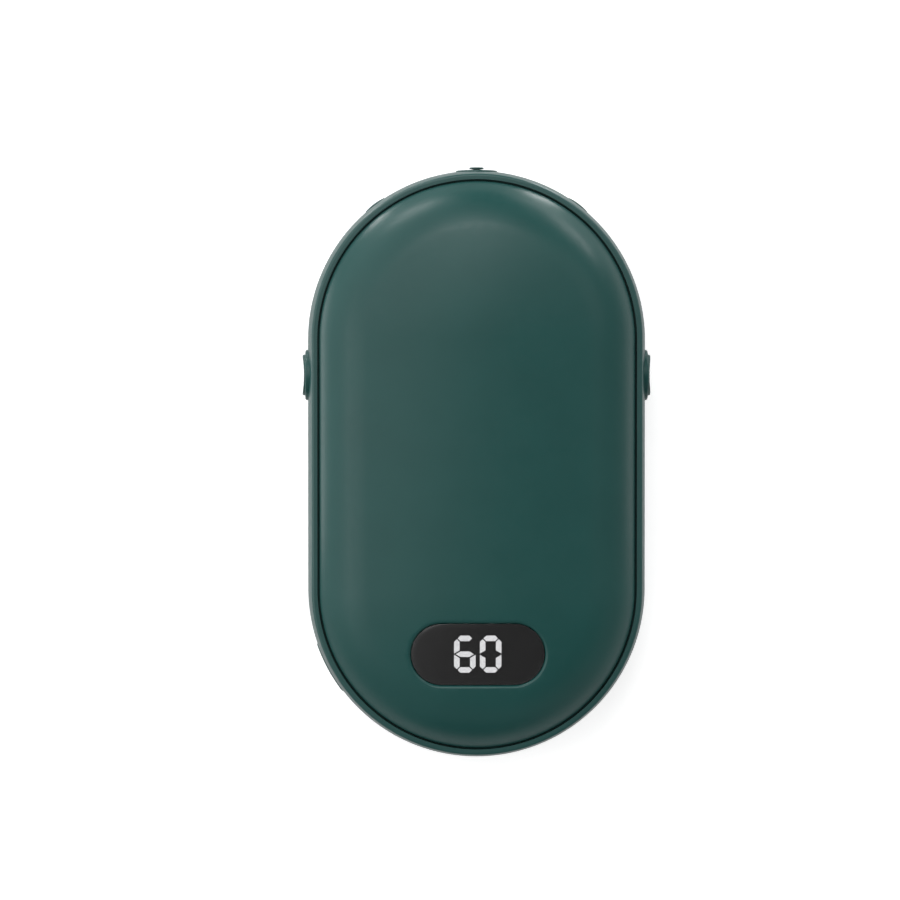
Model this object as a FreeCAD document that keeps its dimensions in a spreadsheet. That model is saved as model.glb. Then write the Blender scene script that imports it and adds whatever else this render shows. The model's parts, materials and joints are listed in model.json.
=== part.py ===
import FreeCAD
import Part
import Sketcher

import os
import re

# A rechargeable hand warmer that lies on its back: +Z out of the display face, +Y towards the lanyard
# stud, +X to the right of someone who reads the display. The origin is the centre of the flat on the
# rear cover that it rests on. All lengths are millimetres and all angles are degrees.

SIZES = {
    # Outline and band
    "body_width": 60.0,  # across the band at its widest
    "body_length": 104.3,  # end to end of the band
    "band_depth": 13.0,  # front lip to rear lip
    "band_bulge": 0.85,  # how far the side swells between the lips
    "band_wall": 3.4,  # widest line to the inner wall
    "lip_inset": 1.8,  # widest line to the inner edge of a lip
    "lip_round": 0.5,  # rounding of a lip's outer edge
    "seam_gap": 0.4,  # open seam between a lip and its cover
    "seam_depth": 1.5,  # lip to the shelf that carries the seal
    "seal_height": 0.9,
    "seal_room": 0.1,  # gap either side of a seal on its shelf
    "ledge_width": 4.0,  # inner ledge under the chassis
    "ledge_height": 1.3,
    # Covers
    "cover_wall": 1.6,
    "rim_round": 0.5,  # rounding where a dome turns into its rim
    "crown_radius": 130.0,  # gentle crown of the front dome
    "crown_inset": 8.65,  # rim to the edge of that crown
    "edge_tilt": 56.4,  # how steep the roll-off from the crown is at the seam
    "rest_inset": 15.85,  # rim to the edge of the rear flat
    "shoulder_radius": 45.0,  # first turn away from the rear flat
    "shoulder_inset": 9.85,  # rim to where that turn ends
    "rear_edge_tilt": 58.4,  # how steep the roll-off from there is at the seam
    "skirt_wall": 1.4,  # inner skirt that snaps into the band
    "skirt_gap": 0.15,
    "skirt_drop": 1.6,  # how far the skirt goes below the shelf
    "bead_height": 0.3,  # snap bead on the skirt
    "bead_half": 0.45,
    "groove_room": 0.1,
    # Display window
    "window_rise": 19.12,  # lower end of the case to the middle of the window
    "window_length": 23.55,
    "window_width": 10.9,
    "window_round": 0.6,  # rounded edge of the window
    "lens_inset": 0.4,  # lens face below the dome
    "lens_gap": 0.05,  # gap round the lens in its window
    "lens_seat": 1.2,  # lowest edge of the window to the seat of the lens
    "lens_flange": 1.2,  # how far the flange reaches past the window
    "flange_height": 0.8,
    "flange_room": 0.15,
    "gasket_height": 0.3,
    "boss_wall": 1.0,  # wall round the lens flange
    "boss_spare": 0.1,  # wall end below the flange
    "display_gap": 0.1,  # lens to display housing
    "housing_length": 22.4,
    "housing_width": 10.6,
    "housing_wall": 0.8,
    "housing_top": 1.2,
    "digit_width": 3.76,
    "digit_height": 6.5,
    "digit_pitch": 4.5,
    "digit_stroke": 0.97,
    "digit_gap": 0.14,  # half the gap between neighbouring bars
    "middle_inset": 0.3,  # side of a digit to the tip of its middle bar
    "middle_tip": 0.81,  # length of that bar's tapered ends
    "lamp_length": 1.2,
    "lamp_width": 0.7,
    "lamp_height": 0.5,
    # Buttons and switches
    "button_drop": 6.31,  # where the upper end begins to turn, to the button axis
    "button_diameter": 7.3,
    "button_proud": 1.05,  # rim of the button past the widest line
    "button_dish": 0.38,
    "button_edge": 0.35,  # rounding of the button's rim
    "button_fit": 0.08,  # running gap in the ring
    "button_travel": 0.5,
    "button_flange": 9.0,
    "flange_depth": 0.8,
    "button_stop": 0.2,  # flange to the wall behind the ring
    "stem_diameter": 2.4,
    "ring_diameter": 9.0,
    "ring_proud": 0.45,
    "ring_seat": 1.8,  # widest line to the seat of the ring
    "ring_edge": 0.3,
    "wall_hole_room": 0.2,  # gap round the button in the wall
    "press_room": 0.02,  # gap round a pressed-in ring, plug or stud
    "switch_length": 6.0,
    "switch_height": 2.8,
    "switch_depth": 4.2,
    "switch_inset": 1.0,  # board edge to the face of the switch
    "plunger_proud": 1.0,
    "plunger_length": 2.6,
    "plunger_height": 1.4,
    "plunger_room": 0.1,
    "plunger_hold": 1.0,  # plunger left in the switch when out
    "button_bay": 11.4,  # length cleared of skirt and ledge for a button
    # Lanyard stud
    "stud_flange": 7.4,
    "stud_flange_proud": 0.02,
    "stud_edge": 0.15,
    "stud_seat": 0.8,  # widest line to the seat of the stud
    "stud_neck": 0.9,
    "stud_neck_proud": 0.2,
    "stud_head": 2.55,
    "stud_head_height": 0.4,
    "stud_head_edge": 0.12,
    "stud_shank": 3.0,
    "stud_room": 0.05,
    "nut_diameter": 6.0,
    "nut_height": 1.4,
    "nut_gap": 0.2,  # flat nut off the hollow wall
    "nut_bay": 8.0,  # length of ledge cleared for the nut
    # Frame screws under plugs
    "plug_angle": 37.0,  # from the stud, both sides
    "plug_diameter": 4.1,
    "plug_depth": 1.0,
    "plug_proud": 0.12,  # edge of the plug past the widest line
    "plug_dome": 0.15,
    "screw_diameter": 2.0,
    "screw_room": 0.05,
    "head_diameter": 3.6,
    "head_height": 1.2,
    "head_gap": 0.1,
    "drive_width": 0.6,
    "drive_depth": 0.5,
    "frame_screw_length": 6.6,
    "boss_length": 5.0,
    "boss_width": 5.2,
    # Chassis and board
    "chassis_inset": 2.0,  # band's inner wall to the chassis edge
    "chassis_height": 1.5,
    "standoff_height": 1.7,
    "standoff_diameter": 4.4,
    "chassis_screw_angle": 30.0,  # from straight down, both sides
    "chassis_screw_inset": 3.9,  # band's inner wall to the screw axis
    "chassis_screw_length": 4.0,
    "screw_boss": 4.2,
    "screw_boss_height": 3.2,
    "board_inset": 2.2,  # band's inner wall to the board edge
    "board_height": 1.2,
    "board_screw_length": 3.8,
    "board_screw_inset": 4.9,  # board edge to the two side screws
    "board_screw_rise": 10.5,  # controller to the two side screws
    "end_screw_inset": 4.55,  # upper end of the board to the third screw
    "wire_bay_length": 18.0,
    "wire_bay_width": 5.4,
    "bay_room": 0.4,  # gap round what passes the chassis
    # Charging socket
    "port_angle": 61.5,  # from straight down, towards the left
    "socket_width": 8.94,
    "socket_height": 3.2,
    "socket_length": 7.4,
    "socket_wall": 0.3,
    "socket_back": 0.6,
    "socket_inset": 0.6,  # widest line to the mouth
    "socket_room": 0.12,
    "port_lip": 0.35,  # raised lip round the socket
    "port_lip_proud": 0.15,
    "port_lip_root": 1.2,  # how deep the lip is rooted in the band
    "tongue_width": 6.7,
    "tongue_height": 0.7,
    "tongue_length": 4.6,
    "contact_width": 0.3,
    "contact_height": 0.08,
    "contact_length": 3.4,
    "contact_pitch": 0.85,
    # Cell, heaters and parts on the board
    "cell_margin": 8.85,  # rim of the rear cover to the side of the cell
    "cell_past": 7.85,  # how far the cell reaches past the straight sides
    "cell_corner": 2.5,
    "tape_height": 0.2,
    "tape_inset": 3.0,
    "guard_width": 30.0,  # protection board at the cell's end
    "guard_height": 5.0,
    "guard_thickness": 1.2,
    "lead_diameter": 1.2,
    "lead_side": 6.5,
    "lead_bend": 2.0,
    "film_height": 0.3,
    "film_inset": 0.4,
    "film_margin": 2.2,  # edge of the crown to the side of the front film
    "film_gap": 1.4,  # wall round the lens to the front film
    "heater_lead_side": 3.0,
    "rear_lead_gap": 1.2,  # protection board to the rear heater leads
    "front_lead_rise": 4.0,  # lower end of the front film to its leads
    "foam_inset": 1.5,  # side of the front film to its pad
    "foam_rise": 5.5,  # leads to the lower end of the pad
    "rear_foam_height": 1.0,
    "foam_past": 10.85,  # how far the pad reaches past the straight sides
    "sensor_length": 2.0,
    "sensor_width": 1.6,
    "sensor_height": 0.9,
    "chip_size": 7.0,
    "chip_height": 1.0,
    "chip_gap": 0.3,  # display housing to the controller
    "chip_rise": 6.8,  # middle of the display to the controller
    "coil_size": 6.4,
    "coil_height": 3.2,
    "coil_corner": 1.0,
    "capacitor_length": 1.6,
    "capacitor_width": 0.9,
    "capacitor_height": 0.8,
    "capacitor_pitch": 2.4,
    "capacitor_rise": 11.3,  # middle of the display to the capacitors
    "overrun": 5.0,  # how far a cut runs past what it cuts
}

DERIVED = {
    "end_radius": "body_width / 2",
    "straight": "body_length - body_width",
    "end_y": "straight / 2",
    "lip_half": "end_radius - lip_inset",
    "cover_half": "lip_half - seam_gap",
    "band_inner": "end_radius - band_wall",
    "skirt_outer": "band_inner - skirt_gap",
    "skirt_inner": "skirt_outer - skirt_wall",
    "bead_peak": "skirt_outer + bead_height",
    "corner_x": "cover_half - rim_round",
    "crown_reach": "cover_half - crown_inset",
    "rest_half_width": "cover_half - rest_inset",
    "shoulder_reach": "cover_half - shoulder_inset",
    # Front dome, as two arcs that meet without a kink
    "crown_sin": "crown_reach / crown_radius",
    "crown_cos": "sqrt(1 - crown_sin^2)",
    "edge_width": "corner_x - crown_reach + rim_round * sin(edge_tilt)",
    "edge_radius": "edge_width / (sin(edge_tilt) - crown_sin)",
    "edge_x": "crown_reach - edge_radius * crown_sin",
    "edge_rise": "(edge_radius - rim_round) * cos(edge_tilt)",
    "front_rise": "crown_radius - (crown_radius - edge_radius) * crown_cos - edge_rise",
    # Rear dome, a flat and two arcs
    "shoulder_sin": "(shoulder_reach - rest_half_width) / shoulder_radius",
    "shoulder_cos": "sqrt(1 - shoulder_sin^2)",
    "rear_edge_width": "corner_x - shoulder_reach + rim_round * sin(rear_edge_tilt)",
    "rear_edge_radius": "rear_edge_width / (sin(rear_edge_tilt) - shoulder_sin)",
    "rear_edge_x": "shoulder_reach - rear_edge_radius * shoulder_sin",
    "rear_edge_z": "shoulder_radius - (shoulder_radius - rear_edge_radius) * shoulder_cos",
    "rear_edge_rise": "(rear_edge_radius - rim_round) * cos(rear_edge_tilt)",
    "rear_rise": "rear_edge_z - rear_edge_rise",
    # Heights
    "half_depth": "band_depth / 2",
    "mid": "rear_rise + half_depth",
    "band_top": "rear_rise + band_depth",
    "front_top": "band_top + front_rise",
    "crown_z": "front_top - crown_radius",
    "edge_z": "crown_z + (crown_radius - edge_radius) * crown_cos",
    "front_shelf": "band_top - seam_depth",
    "rear_shelf": "rear_rise + seam_depth",
    "front_rim": "front_shelf + seal_height",
    "rear_rim": "rear_shelf - seal_height",
    "front_skirt": "front_shelf - skirt_drop",
    "rear_skirt": "rear_shelf + skirt_drop",
    "board_z": "mid + switch_height / 2",
    "board_top": "board_z + board_height",
    "chassis_top": "board_z - standoff_height",
    "chassis_z": "chassis_top - chassis_height",
    "ledge_z": "chassis_z - ledge_height",
    # Band section
    "side_radius": "(band_bulge^2 + half_depth^2) / (2 * band_bulge)",
    "side_x": "end_radius - side_radius",
    "lip_x": "side_x + sqrt((side_radius - lip_round)^2 - (half_depth - lip_round)^2)",
    "lip_scale": "side_radius / (side_radius - lip_round)",
    "turn_x": "side_x + lip_scale * (lip_x - side_x)",
    "turn_z": "lip_scale * (half_depth - lip_round)",
    "groove_peak": "bead_peak + groove_room",
    "ledge_half": "band_inner - ledge_width",
    # Window
    "window_drop": "body_length / 2 - window_rise",
    "window_y": "-window_drop",
    "window_reach": "window_drop + window_width / 2 - end_y",
    "window_low_z": "crown_z + sqrt(crown_radius^2 - window_reach^2)",
    "seat_z": "window_low_z - lens_seat",
    "gasket_z": "seat_z - gasket_height",
    "lens_z": "gasket_z - flange_height",
    "display_z": "lens_z - display_gap",
    "segment_z": "display_z - housing_top",
    # Buttons
    "button_rise": "end_y - button_drop",
    "button_tip": "end_radius + button_proud",
    "button_radius": "button_diameter / 2",
    "dish_radius": "(button_radius^2 + button_dish^2) / (2 * button_dish)",
    "ring_floor": "end_radius - ring_seat",
    "ring_tip": "end_radius + ring_proud",
    "flange_face": "band_inner - button_stop",
    "flange_back": "flange_face - flange_depth",
    "board_half": "band_inner - board_inset",
    "switch_face": "board_half - switch_inset",
    "switch_back": "switch_face - switch_depth",
    "plunger_tip": "switch_face + plunger_proud",
    "plunger_back": "switch_face - plunger_hold",
    # Chassis and socket
    "chassis_half": "band_inner - chassis_inset",
    "screw_circle": "band_inner - chassis_screw_inset",
    "socket_mouth": "end_radius - socket_inset",
    "socket_end": "socket_mouth - socket_length",
    "socket_z": "board_z - socket_height / 2",
    "plug_floor": "end_radius - plug_depth",
    "head_top": "plug_floor - head_gap",
    "head_seat": "head_top - head_height",
    "stud_floor": "end_radius - stud_seat",
    "nut_face": "band_inner - nut_gap",
    "chip_side": "(housing_length + chip_size) / 2 + chip_gap",
    "chip_low": "window_drop - chip_rise",
    "capacitor_low": "window_drop - capacitor_rise",
    "board_screw_side": "board_half - board_screw_inset",
    "board_screw_low": "chip_low - board_screw_rise",
    "board_screw_high": "end_y + board_half - end_screw_inset",
    # Cell and heaters
    "cell_width": "2 * (cover_half - cell_margin)",
    "cell_length": "straight + 2 * cell_past",
    "cell_top": "chassis_z - tape_height",
    "rear_film_top": "cover_wall + film_height",
    "cell_z": "rear_film_top + rear_foam_height",
    "cell_middle": "(cell_z + cell_top) / 2",
    "rear_film_half": "rest_half_width - film_inset",
    "guard_face": "cell_length / 2 + guard_thickness",
    "rear_lead_low": "guard_face + rear_lead_gap",
    "front_film_depth": "cover_wall + film_height",
    "film_reach": "crown_reach - film_margin",
    "boss_low": "window_drop - window_width / 2 - lens_flange - flange_room - boss_wall",
    "film_low": "boss_low - film_gap",
    "front_lead_low": "film_low - front_lead_rise",
    "foam_half_width": "film_reach - foam_inset",
    "foam_low": "front_lead_low - foam_rise",
    "foam_high": "end_y + foam_past",
}

doc = FreeCAD.newDocument("hand_warmer")
sheet = doc.addObject("Spreadsheet::Sheet", "Sizes")
for row, (name, number) in enumerate(SIZES.items(), start=1):
    sheet.set(f"A{row}", name)
    sheet.set(f"B{row}", str(number))
    sheet.setAlias(f"B{row}", name)
doc.recompute()

WHOLE = {}
PIECES = []


def formula(text):
    """Writes every named size in a formula as a cell of the sheet."""

    def cell(match):
        name = match.group(0)
        if name in SIZES:
            return f"Sizes.{name}"
        if name in DERIVED:
            if name not in WHOLE:
                WHOLE[name] = f"({formula(DERIVED[name])})"
            return WHOLE[name]
        return name

    return re.sub(r"[A-Za-z_]\w*", cell, text)


def size(text):
    """The number that a formula gives."""
    return float(sheet.evalExpression(formula(text)))


def bind(thing, **formulas):
    for name, text in formulas.items():
        thing.setExpression(name, formula(text))
    return thing


def place(thing, x="0", y="0", z="0", angle="0", hub="0"):
    """Puts a piece at a point that is turned about an upright axis through (0, hub)."""
    thing.setExpression("Placement.Base.x", formula(f"({x}) * cos({angle}) - ({y}) * sin({angle})"))
    thing.setExpression("Placement.Base.y", formula(f"{hub} + ({x}) * sin({angle}) + ({y}) * cos({angle})"))
    thing.setExpression("Placement.Base.z", formula(z))
    thing.setExpression("Placement.Rotation.Angle", formula(angle))
    return thing


def piece(thing, label):
    """Marks a finished sub-part."""
    thing.Label = label
    PIECES.append(thing)
    return thing


# Sketches


def pin(sketch, curve, point, x, y):
    """Ties a point of a sketch to its place."""
    for text, kind, axis in ((x, "DistanceX", -2), (y, "DistanceY", -1)):
        if text is None:
            continue
        value = size(text)
        if abs(value) < Part.Precision.confusion():
            sketch.addConstraint(Sketcher.Constraint("PointOnObject", curve, point, axis))
        else:
            index = sketch.addConstraint(Sketcher.Constraint(kind, -1, 1, curve, point, value))
            sketch.setExpression(f"Constraints[{index}]", formula(text))


def draw(sketch, steps):
    """Draws a closed loop: (x, y) is a line to there, (x, y, centre x, centre y, turn) an arc."""
    corners = [FreeCAD.Vector(size(step[0]), size(step[1])) for step in steps]
    first = sketch.GeometryCount
    ends = []
    for start, end, step in zip(corners[-1:] + corners[:-1], corners, steps):
        if len(step) == 2:
            sketch.addGeometry(Part.LineSegment(start, end))
            ends.append((1, 2))
            continue
        centre = FreeCAD.Vector(size(step[2]), size(step[3]))
        circle = Part.Circle(centre, FreeCAD.Vector(0, 0, 1), (start - centre).Length)
        near, far = (start, end) if step[4] == "left" else (end, start)
        sketch.addGeometry(Part.ArcOfCircle(circle, circle.parameter(near), circle.parameter(far)))
        ends.append((1, 2) if step[4] == "left" else (2, 1))
    for number, step in enumerate(steps):
        curve = first + number
        after = (number + 1) % len(steps)
        leave = ends[number][1]
        sketch.addConstraint(Sketcher.Constraint("Coincident", curve, leave, first + after, ends[after][0]))
        pin(sketch, curve, leave, step[0], step[1])
        if len(step) > 2:
            chord = corners[number] - corners[number - 1]
            upright = abs(chord.y) > abs(chord.x)
            pin(sketch, curve, 3, step[2] if upright else None, None if upright else step[3])


def plane_of(body, role):
    return next(feature for feature in body.Origin.OriginFeatures if feature.Role == role)


def sketch_on(body, role, loops, offset="0"):
    """A sketch on one of the body's own planes, moved along the plane's normal."""
    sketch = body.newObject("Sketcher::SketchObject", "Sketch")
    sketch.AttachmentSupport = (plane_of(body, role), [""])
    sketch.MapMode = "FlatFace"
    bind(sketch, **{"AttachmentOffset.Base.z": offset})
    for loop in loops:
        draw(sketch, loop)
    return sketch


def oblong(length, width, x="0", y="0"):
    """A loop with two straight sides along X and two round ends."""
    reach = f"({length} - ({width})) / 2"
    half = f"({width}) / 2"
    return [
        (f"{x} + {reach}", f"{y} - {half}"),
        (f"{x} + {reach}", f"{y} + {half}", f"{x} + {reach}", y, "left"),
        (f"{x} - {reach}", f"{y} + {half}"),
        (f"{x} - {reach}", f"{y} - {half}", f"{x} - {reach}", y, "left"),
    ]


def case_outline(half):
    """The outline of the case, drawn in by taking a smaller half width."""
    return [
        (half, "end_y"),
        (f"-({half})", "end_y", "0", "end_y", "left"),
        (f"-({half})", "-end_y"),
        (half, "-end_y", "0", "-end_y", "left"),
    ]


def rounded(length, width, corner, x="0", y="0"):
    """A rectangle with round corners."""
    right = f"{x} + {length} / 2"
    left = f"{x} - {length} / 2"
    top = f"{y} + {width} / 2"
    low = f"{y} - {width} / 2"
    return [
        (f"{right} - {corner}", low),
        (right, f"{low} + {corner}", f"{right} - {corner}", f"{low} + {corner}", "left"),
        (right, f"{top} - {corner}"),
        (f"{right} - {corner}", top, f"{right} - {corner}", f"{top} - {corner}", "left"),
        (f"{left} + {corner}", top),
        (left, f"{top} - {corner}", f"{left} + {corner}", f"{top} - {corner}", "left"),
        (left, f"{low} + {corner}"),
        (f"{left} + {corner}", low, f"{left} + {corner}", f"{low} + {corner}", "left"),
    ]


def circle(radius):
    """A full circle about the sketch's origin, as two halves."""
    return [
        (radius, "0", "0", "0", "left"),
        (f"-({radius})", "0", "0", "0", "left"),
    ]


def hexagon(width):
    """A hexagon by its width across the corners."""
    turns = [f"{turn} * 60" for turn in range(6)]
    return [(f"{width} / 2 * cos({turn})", f"{width} / 2 * sin({turn})") for turn in turns]


# Solids


def new_body():
    return doc.addObject("PartDesign::Body", "Body")


def pad(body, sketch, length):
    feature = body.newObject("PartDesign::Pad", "Pad")
    feature.Profile = sketch
    return bind(feature, Length=length)


def turn(body, sketch, axis, degrees):
    feature = body.newObject("PartDesign::Revolution", "Revolution")
    feature.Profile = sketch
    feature.ReferenceAxis = (sketch, [axis])
    return bind(feature, Angle=degrees)


def prism(loops, low, high):
    """An upright solid between two heights."""
    body = new_body()
    pad(body, sketch_on(body, "XY_Plane", loops, low), f"{high} - ({low})")
    return body


def radial_prism(loops, near, far, **where):
    """A solid along a line from the middle of a rounded end, or of a side, outwards."""
    body = new_body()
    pad(body, sketch_on(body, "YZ_Plane", loops, near), f"{far} - ({near})")
    return place(body, **where)


def turned(loop, **where):
    """A round solid along a line outwards, drawn as (distance, radius)."""
    body = new_body()
    turn(body, sketch_on(body, "XY_Plane", [loop]), "H_Axis", "360")
    return place(body, **where)


def upright_turned(loop, **where):
    """A round upright solid, drawn as (radius, height)."""
    body = new_body()
    turn(body, sketch_on(body, "XZ_Plane", [loop]), "V_Axis", "360")
    return place(body, **where)


def round_the_case(loop):
    """Runs a half section, drawn as (half width, height), along both sides and round both ends."""
    body = new_body()
    side = pad(body, sketch_on(body, "XZ_Plane", [loop]), "straight")
    side.SideType = "Symmetric"
    end = turn(body, sketch_on(body, "XZ_Plane", [loop], "-end_y"), "V_Axis", "180")
    for feature, role in ((end, "XZ_Plane"), (side, "YZ_Plane")):
        mirror = body.newObject("PartDesign::Mirrored", "Mirrored")
        mirror.Originals = [feature]
        mirror.MirrorPlane = (plane_of(body, role), [""])
        body.Tip = mirror
        doc.recompute()
    return body


def block(x, y, z, angle="0", hub="0"):
    """A box between pairs of formulas, turned about an upright axis through (0, hub)."""
    box = doc.addObject("Part::Box", "Block")
    bind(box, Length=f"{x[1]} - ({x[0]})", Width=f"{y[1]} - ({y[0]})", Height=f"{z[1]} - ({z[0]})")
    return place(box, x[0], y[0], z[0], angle, hub)


def span(width, centre="0"):
    """The two ends of a width about a centre."""
    return (f"{centre} - ({width}) / 2", f"{centre} + ({width}) / 2")


def rod(diameter, low, high, x, y="0", angle="0", hub="0"):
    cylinder = doc.addObject("Part::Cylinder", "Rod")
    bind(cylinder, Radius=f"({diameter}) / 2", Height=f"{high} - ({low})")
    return place(cylinder, x, y, low, angle, hub)


def fuse(*things):
    result = doc.addObject("Part::MultiFuse", "Fuse")
    result.Shapes = list(things)
    result.Refine = True
    return result


def cut(base, *tools):
    result = doc.addObject("Part::Cut", "Cut")
    result.Base = base
    result.Tool = tools[0] if len(tools) == 1 else fuse(*tools)
    result.Refine = True
    return result


def common(one, other):
    result = doc.addObject("Part::Common", "Common")
    result.Base = one
    result.Tool = other
    return result


def group(*things):
    result = doc.addObject("Part::Compound", "Group")
    result.Links = list(things)
    return result


# Places that several pieces share

RIGHT = {"angle": "0", "hub": "button_rise", "z": "mid"}
LEFT = {"angle": "180", "hub": "button_rise", "z": "mid"}
SIDES = {"left": LEFT, "right": RIGHT}
TOP = {"angle": "90", "hub": "end_y", "z": "mid"}
PLUGS = [
    {"angle": "90 - plug_angle", "hub": "end_y", "z": "mid"},
    {"angle": "90 + plug_angle", "hub": "end_y", "z": "mid"},
]
PORT = {"angle": "270 - port_angle", "hub": "-end_y"}
CHASSIS_SCREWS = [
    {"x": "screw_circle", "angle": "270 - chassis_screw_angle", "hub": "-end_y"},
    {"x": "screw_circle", "angle": "270 + chassis_screw_angle", "hub": "-end_y"},
]
BOARD_SCREWS = [
    {"x": "board_screw_side", "y": "-board_screw_low"},
    {"x": "-board_screw_side", "y": "-board_screw_low"},
    {"x": "0", "y": "board_screw_high"},
]
BUTTON_BAY = span("button_bay", "button_rise")
PAST_SIDE = "end_radius + overrun"
PAST_FRONT = "front_top + overrun"


# Case


def front_height(depth, reach):
    """Height of the front roll-off at a half width, on a surface that lies below it by depth."""
    return f"edge_z + sqrt((edge_radius - ({depth}))^2 - ({reach} - edge_x)^2)"


def crown_height(depth, reach):
    """The same on the crown."""
    return f"crown_z + sqrt((crown_radius - ({depth}))^2 - ({reach})^2)"


def crown_join(depth):
    """Where the crown meets the roll-off."""
    return (
        f"crown_reach * (crown_radius - ({depth})) / crown_radius",
        f"crown_z + (crown_radius - ({depth})) * crown_cos",
    )


def under_dome(depth):
    """Everything under the front dome, down from a surface that lies below it by depth."""
    return round_the_case(
        [
            ("0", "board_top"),
            ("skirt_inner", "board_top"),
            ("skirt_inner", front_height(depth, "skirt_inner")),
            (*crown_join(depth), "edge_x", "edge_z", "left"),
            ("0", f"front_top - ({depth})", "0", "crown_z", "left"),
        ]
    )


def front_shell():
    inner = crown_join("cover_wall")
    return round_the_case(
        [
            ("skirt_inner", "front_skirt"),
            ("skirt_outer", "front_skirt"),
            ("bead_peak", "front_skirt + bead_half"),
            ("skirt_outer", "front_skirt + 2 * bead_half"),
            ("skirt_outer", "front_rim"),
            ("cover_half", "front_rim"),
            ("cover_half", "band_top"),
            (
                "edge_x + (corner_x - edge_x) * edge_radius / (edge_radius - rim_round)",
                "edge_z + edge_rise * edge_radius / (edge_radius - rim_round)",
                "corner_x",
                "band_top",
                "left",
            ),
            (*crown_join("0"), "edge_x", "edge_z", "left"),
            ("0", "front_top", "0", "crown_z", "left"),
            ("0", "front_top - cover_wall"),
            (*inner, "0", "crown_z", "right"),
            ("skirt_inner", front_height("cover_wall", "skirt_inner"), "edge_x", "edge_z", "right"),
        ]
    )


def rear_shell():
    return round_the_case(
        [
            ("0", "0"),
            ("rest_half_width", "0"),
            (
                "shoulder_reach",
                "shoulder_radius * (1 - shoulder_cos)",
                "rest_half_width",
                "shoulder_radius",
                "left",
            ),
            (
                "rear_edge_x + (corner_x - rear_edge_x) * rear_edge_radius / (rear_edge_radius - rim_round)",
                "rear_edge_z - rear_edge_rise * rear_edge_radius / (rear_edge_radius - rim_round)",
                "rear_edge_x",
                "rear_edge_z",
                "left",
            ),
            ("cover_half", "rear_rise", "corner_x", "rear_rise", "left"),
            ("cover_half", "rear_rim"),
            ("skirt_outer", "rear_rim"),
            ("skirt_outer", "rear_skirt - 2 * bead_half"),
            ("bead_peak", "rear_skirt - bead_half"),
            ("skirt_outer", "rear_skirt"),
            ("skirt_inner", "rear_skirt"),
            (
                "skirt_inner",
                "rear_edge_z - sqrt((rear_edge_radius - cover_wall)^2 - (skirt_inner - rear_edge_x)^2)",
            ),
            (
                "rest_half_width + (shoulder_radius - cover_wall) * shoulder_sin",
                "shoulder_radius - (shoulder_radius - cover_wall) * shoulder_cos",
                "rear_edge_x",
                "rear_edge_z",
                "right",
            ),
            ("rest_half_width", "cover_wall", "rest_half_width", "shoulder_radius", "right"),
            ("0", "cover_wall"),
        ]
    )


def window_edges(shape):
    """The edges where the window breaks through the outer face of the dome."""
    found = []
    for number, edge in enumerate(shape.Edges, start=1):
        middle = edge.BoundBox.Center
        outside = edge.BoundBox.ZMin > size("seat_z + lens_inset")
        in_reach = abs(middle.x) < size("window_length / 2 + lens_gap")
        in_reach = in_reach and abs(middle.y - size("window_y")) < size("window_width / 2 + lens_gap")
        if outside and in_reach:
            found.append(number)
    return found


def window_prism(spread, low, high):
    """An upright solid of the window's shape, larger all round by spread."""
    length = f"window_length + 2 * ({spread})"
    width = f"window_width + 2 * ({spread})"
    return prism([oblong(length, width, "0", "window_y")], low, high)


def make_front_cover():
    boss = window_prism("lens_flange + flange_room + boss_wall", "lens_z - boss_spare", "front_top")
    pocketed = cut(
        fuse(front_shell(), common(boss, under_dome("cover_wall / 2"))),
        window_prism("0", "board_top", PAST_FRONT),
        window_prism("lens_flange + flange_room", "board_top", "seat_z"),
        block(span("2 * lip_half"), BUTTON_BAY, ("mid", "front_shelf")),
    )
    doc.recompute()
    edges = window_edges(pocketed.Shape)
    cover = doc.addObject("Part::Fillet", "Fillet")
    cover.Base = pocketed
    cover.Edges = [(edge, size("window_round"), size("window_round")) for edge in edges]
    piece(cover, "front_cover")


def make_rear_cover():
    bay = block(span("2 * lip_half"), BUTTON_BAY, ("rear_shelf", "mid"))
    piece(cut(rear_shell(), bay), "rear_cover")


def band_ring():
    return round_the_case(
        [
            ("lip_half", "rear_rise"),
            ("lip_x", "rear_rise"),
            ("turn_x", "mid - turn_z", "lip_x", "rear_rise + lip_round", "left"),
            ("turn_x", "mid + turn_z", "side_x", "mid", "left"),
            ("lip_x", "band_top", "lip_x", "band_top - lip_round", "left"),
            ("lip_half", "band_top"),
            ("lip_half", "front_shelf"),
            ("band_inner", "front_shelf"),
            ("band_inner", "front_skirt + 2 * bead_half + groove_room"),
            ("groove_peak", "front_skirt + bead_half"),
            ("band_inner", "front_skirt - groove_room"),
            ("band_inner", "chassis_z"),
            ("ledge_half", "chassis_z"),
            ("ledge_half", "ledge_z"),
            ("band_inner", "ledge_z"),
            ("band_inner", "rear_skirt + groove_room"),
            ("groove_peak", "rear_skirt - bead_half"),
            ("band_inner", "rear_skirt - 2 * bead_half - groove_room"),
            ("band_inner", "rear_shelf"),
            ("lip_half", "rear_shelf"),
        ]
    )


def port_lip():
    """Low lip round the charging socket, which follows the bulge of the band."""
    half = "(socket_height / 2 + 2 * port_lip)"
    face = f"side_x + sqrt((side_radius + port_lip_proud)^2 - {half}^2)"
    root = "end_radius - port_lip_root"
    skin = new_body()
    section = [
        (root, f"-{half}"),
        (face, f"-{half}"),
        (face, half, "side_x", "0", "left"),
        (root, half),
    ]
    outline = sketch_on(skin, "XZ_Plane", [section])
    sweep = turn(skin, outline, "V_Axis", "2 * asin(socket_width / end_radius)")
    sweep.Midplane = True
    place(skin, z="mid", **PORT)
    lip = oblong("socket_width + 2 * port_lip", "socket_height + 2 * port_lip")
    return common(skin, radial_prism([lip], root, PAST_SIDE, z="socket_z", **PORT))


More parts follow.
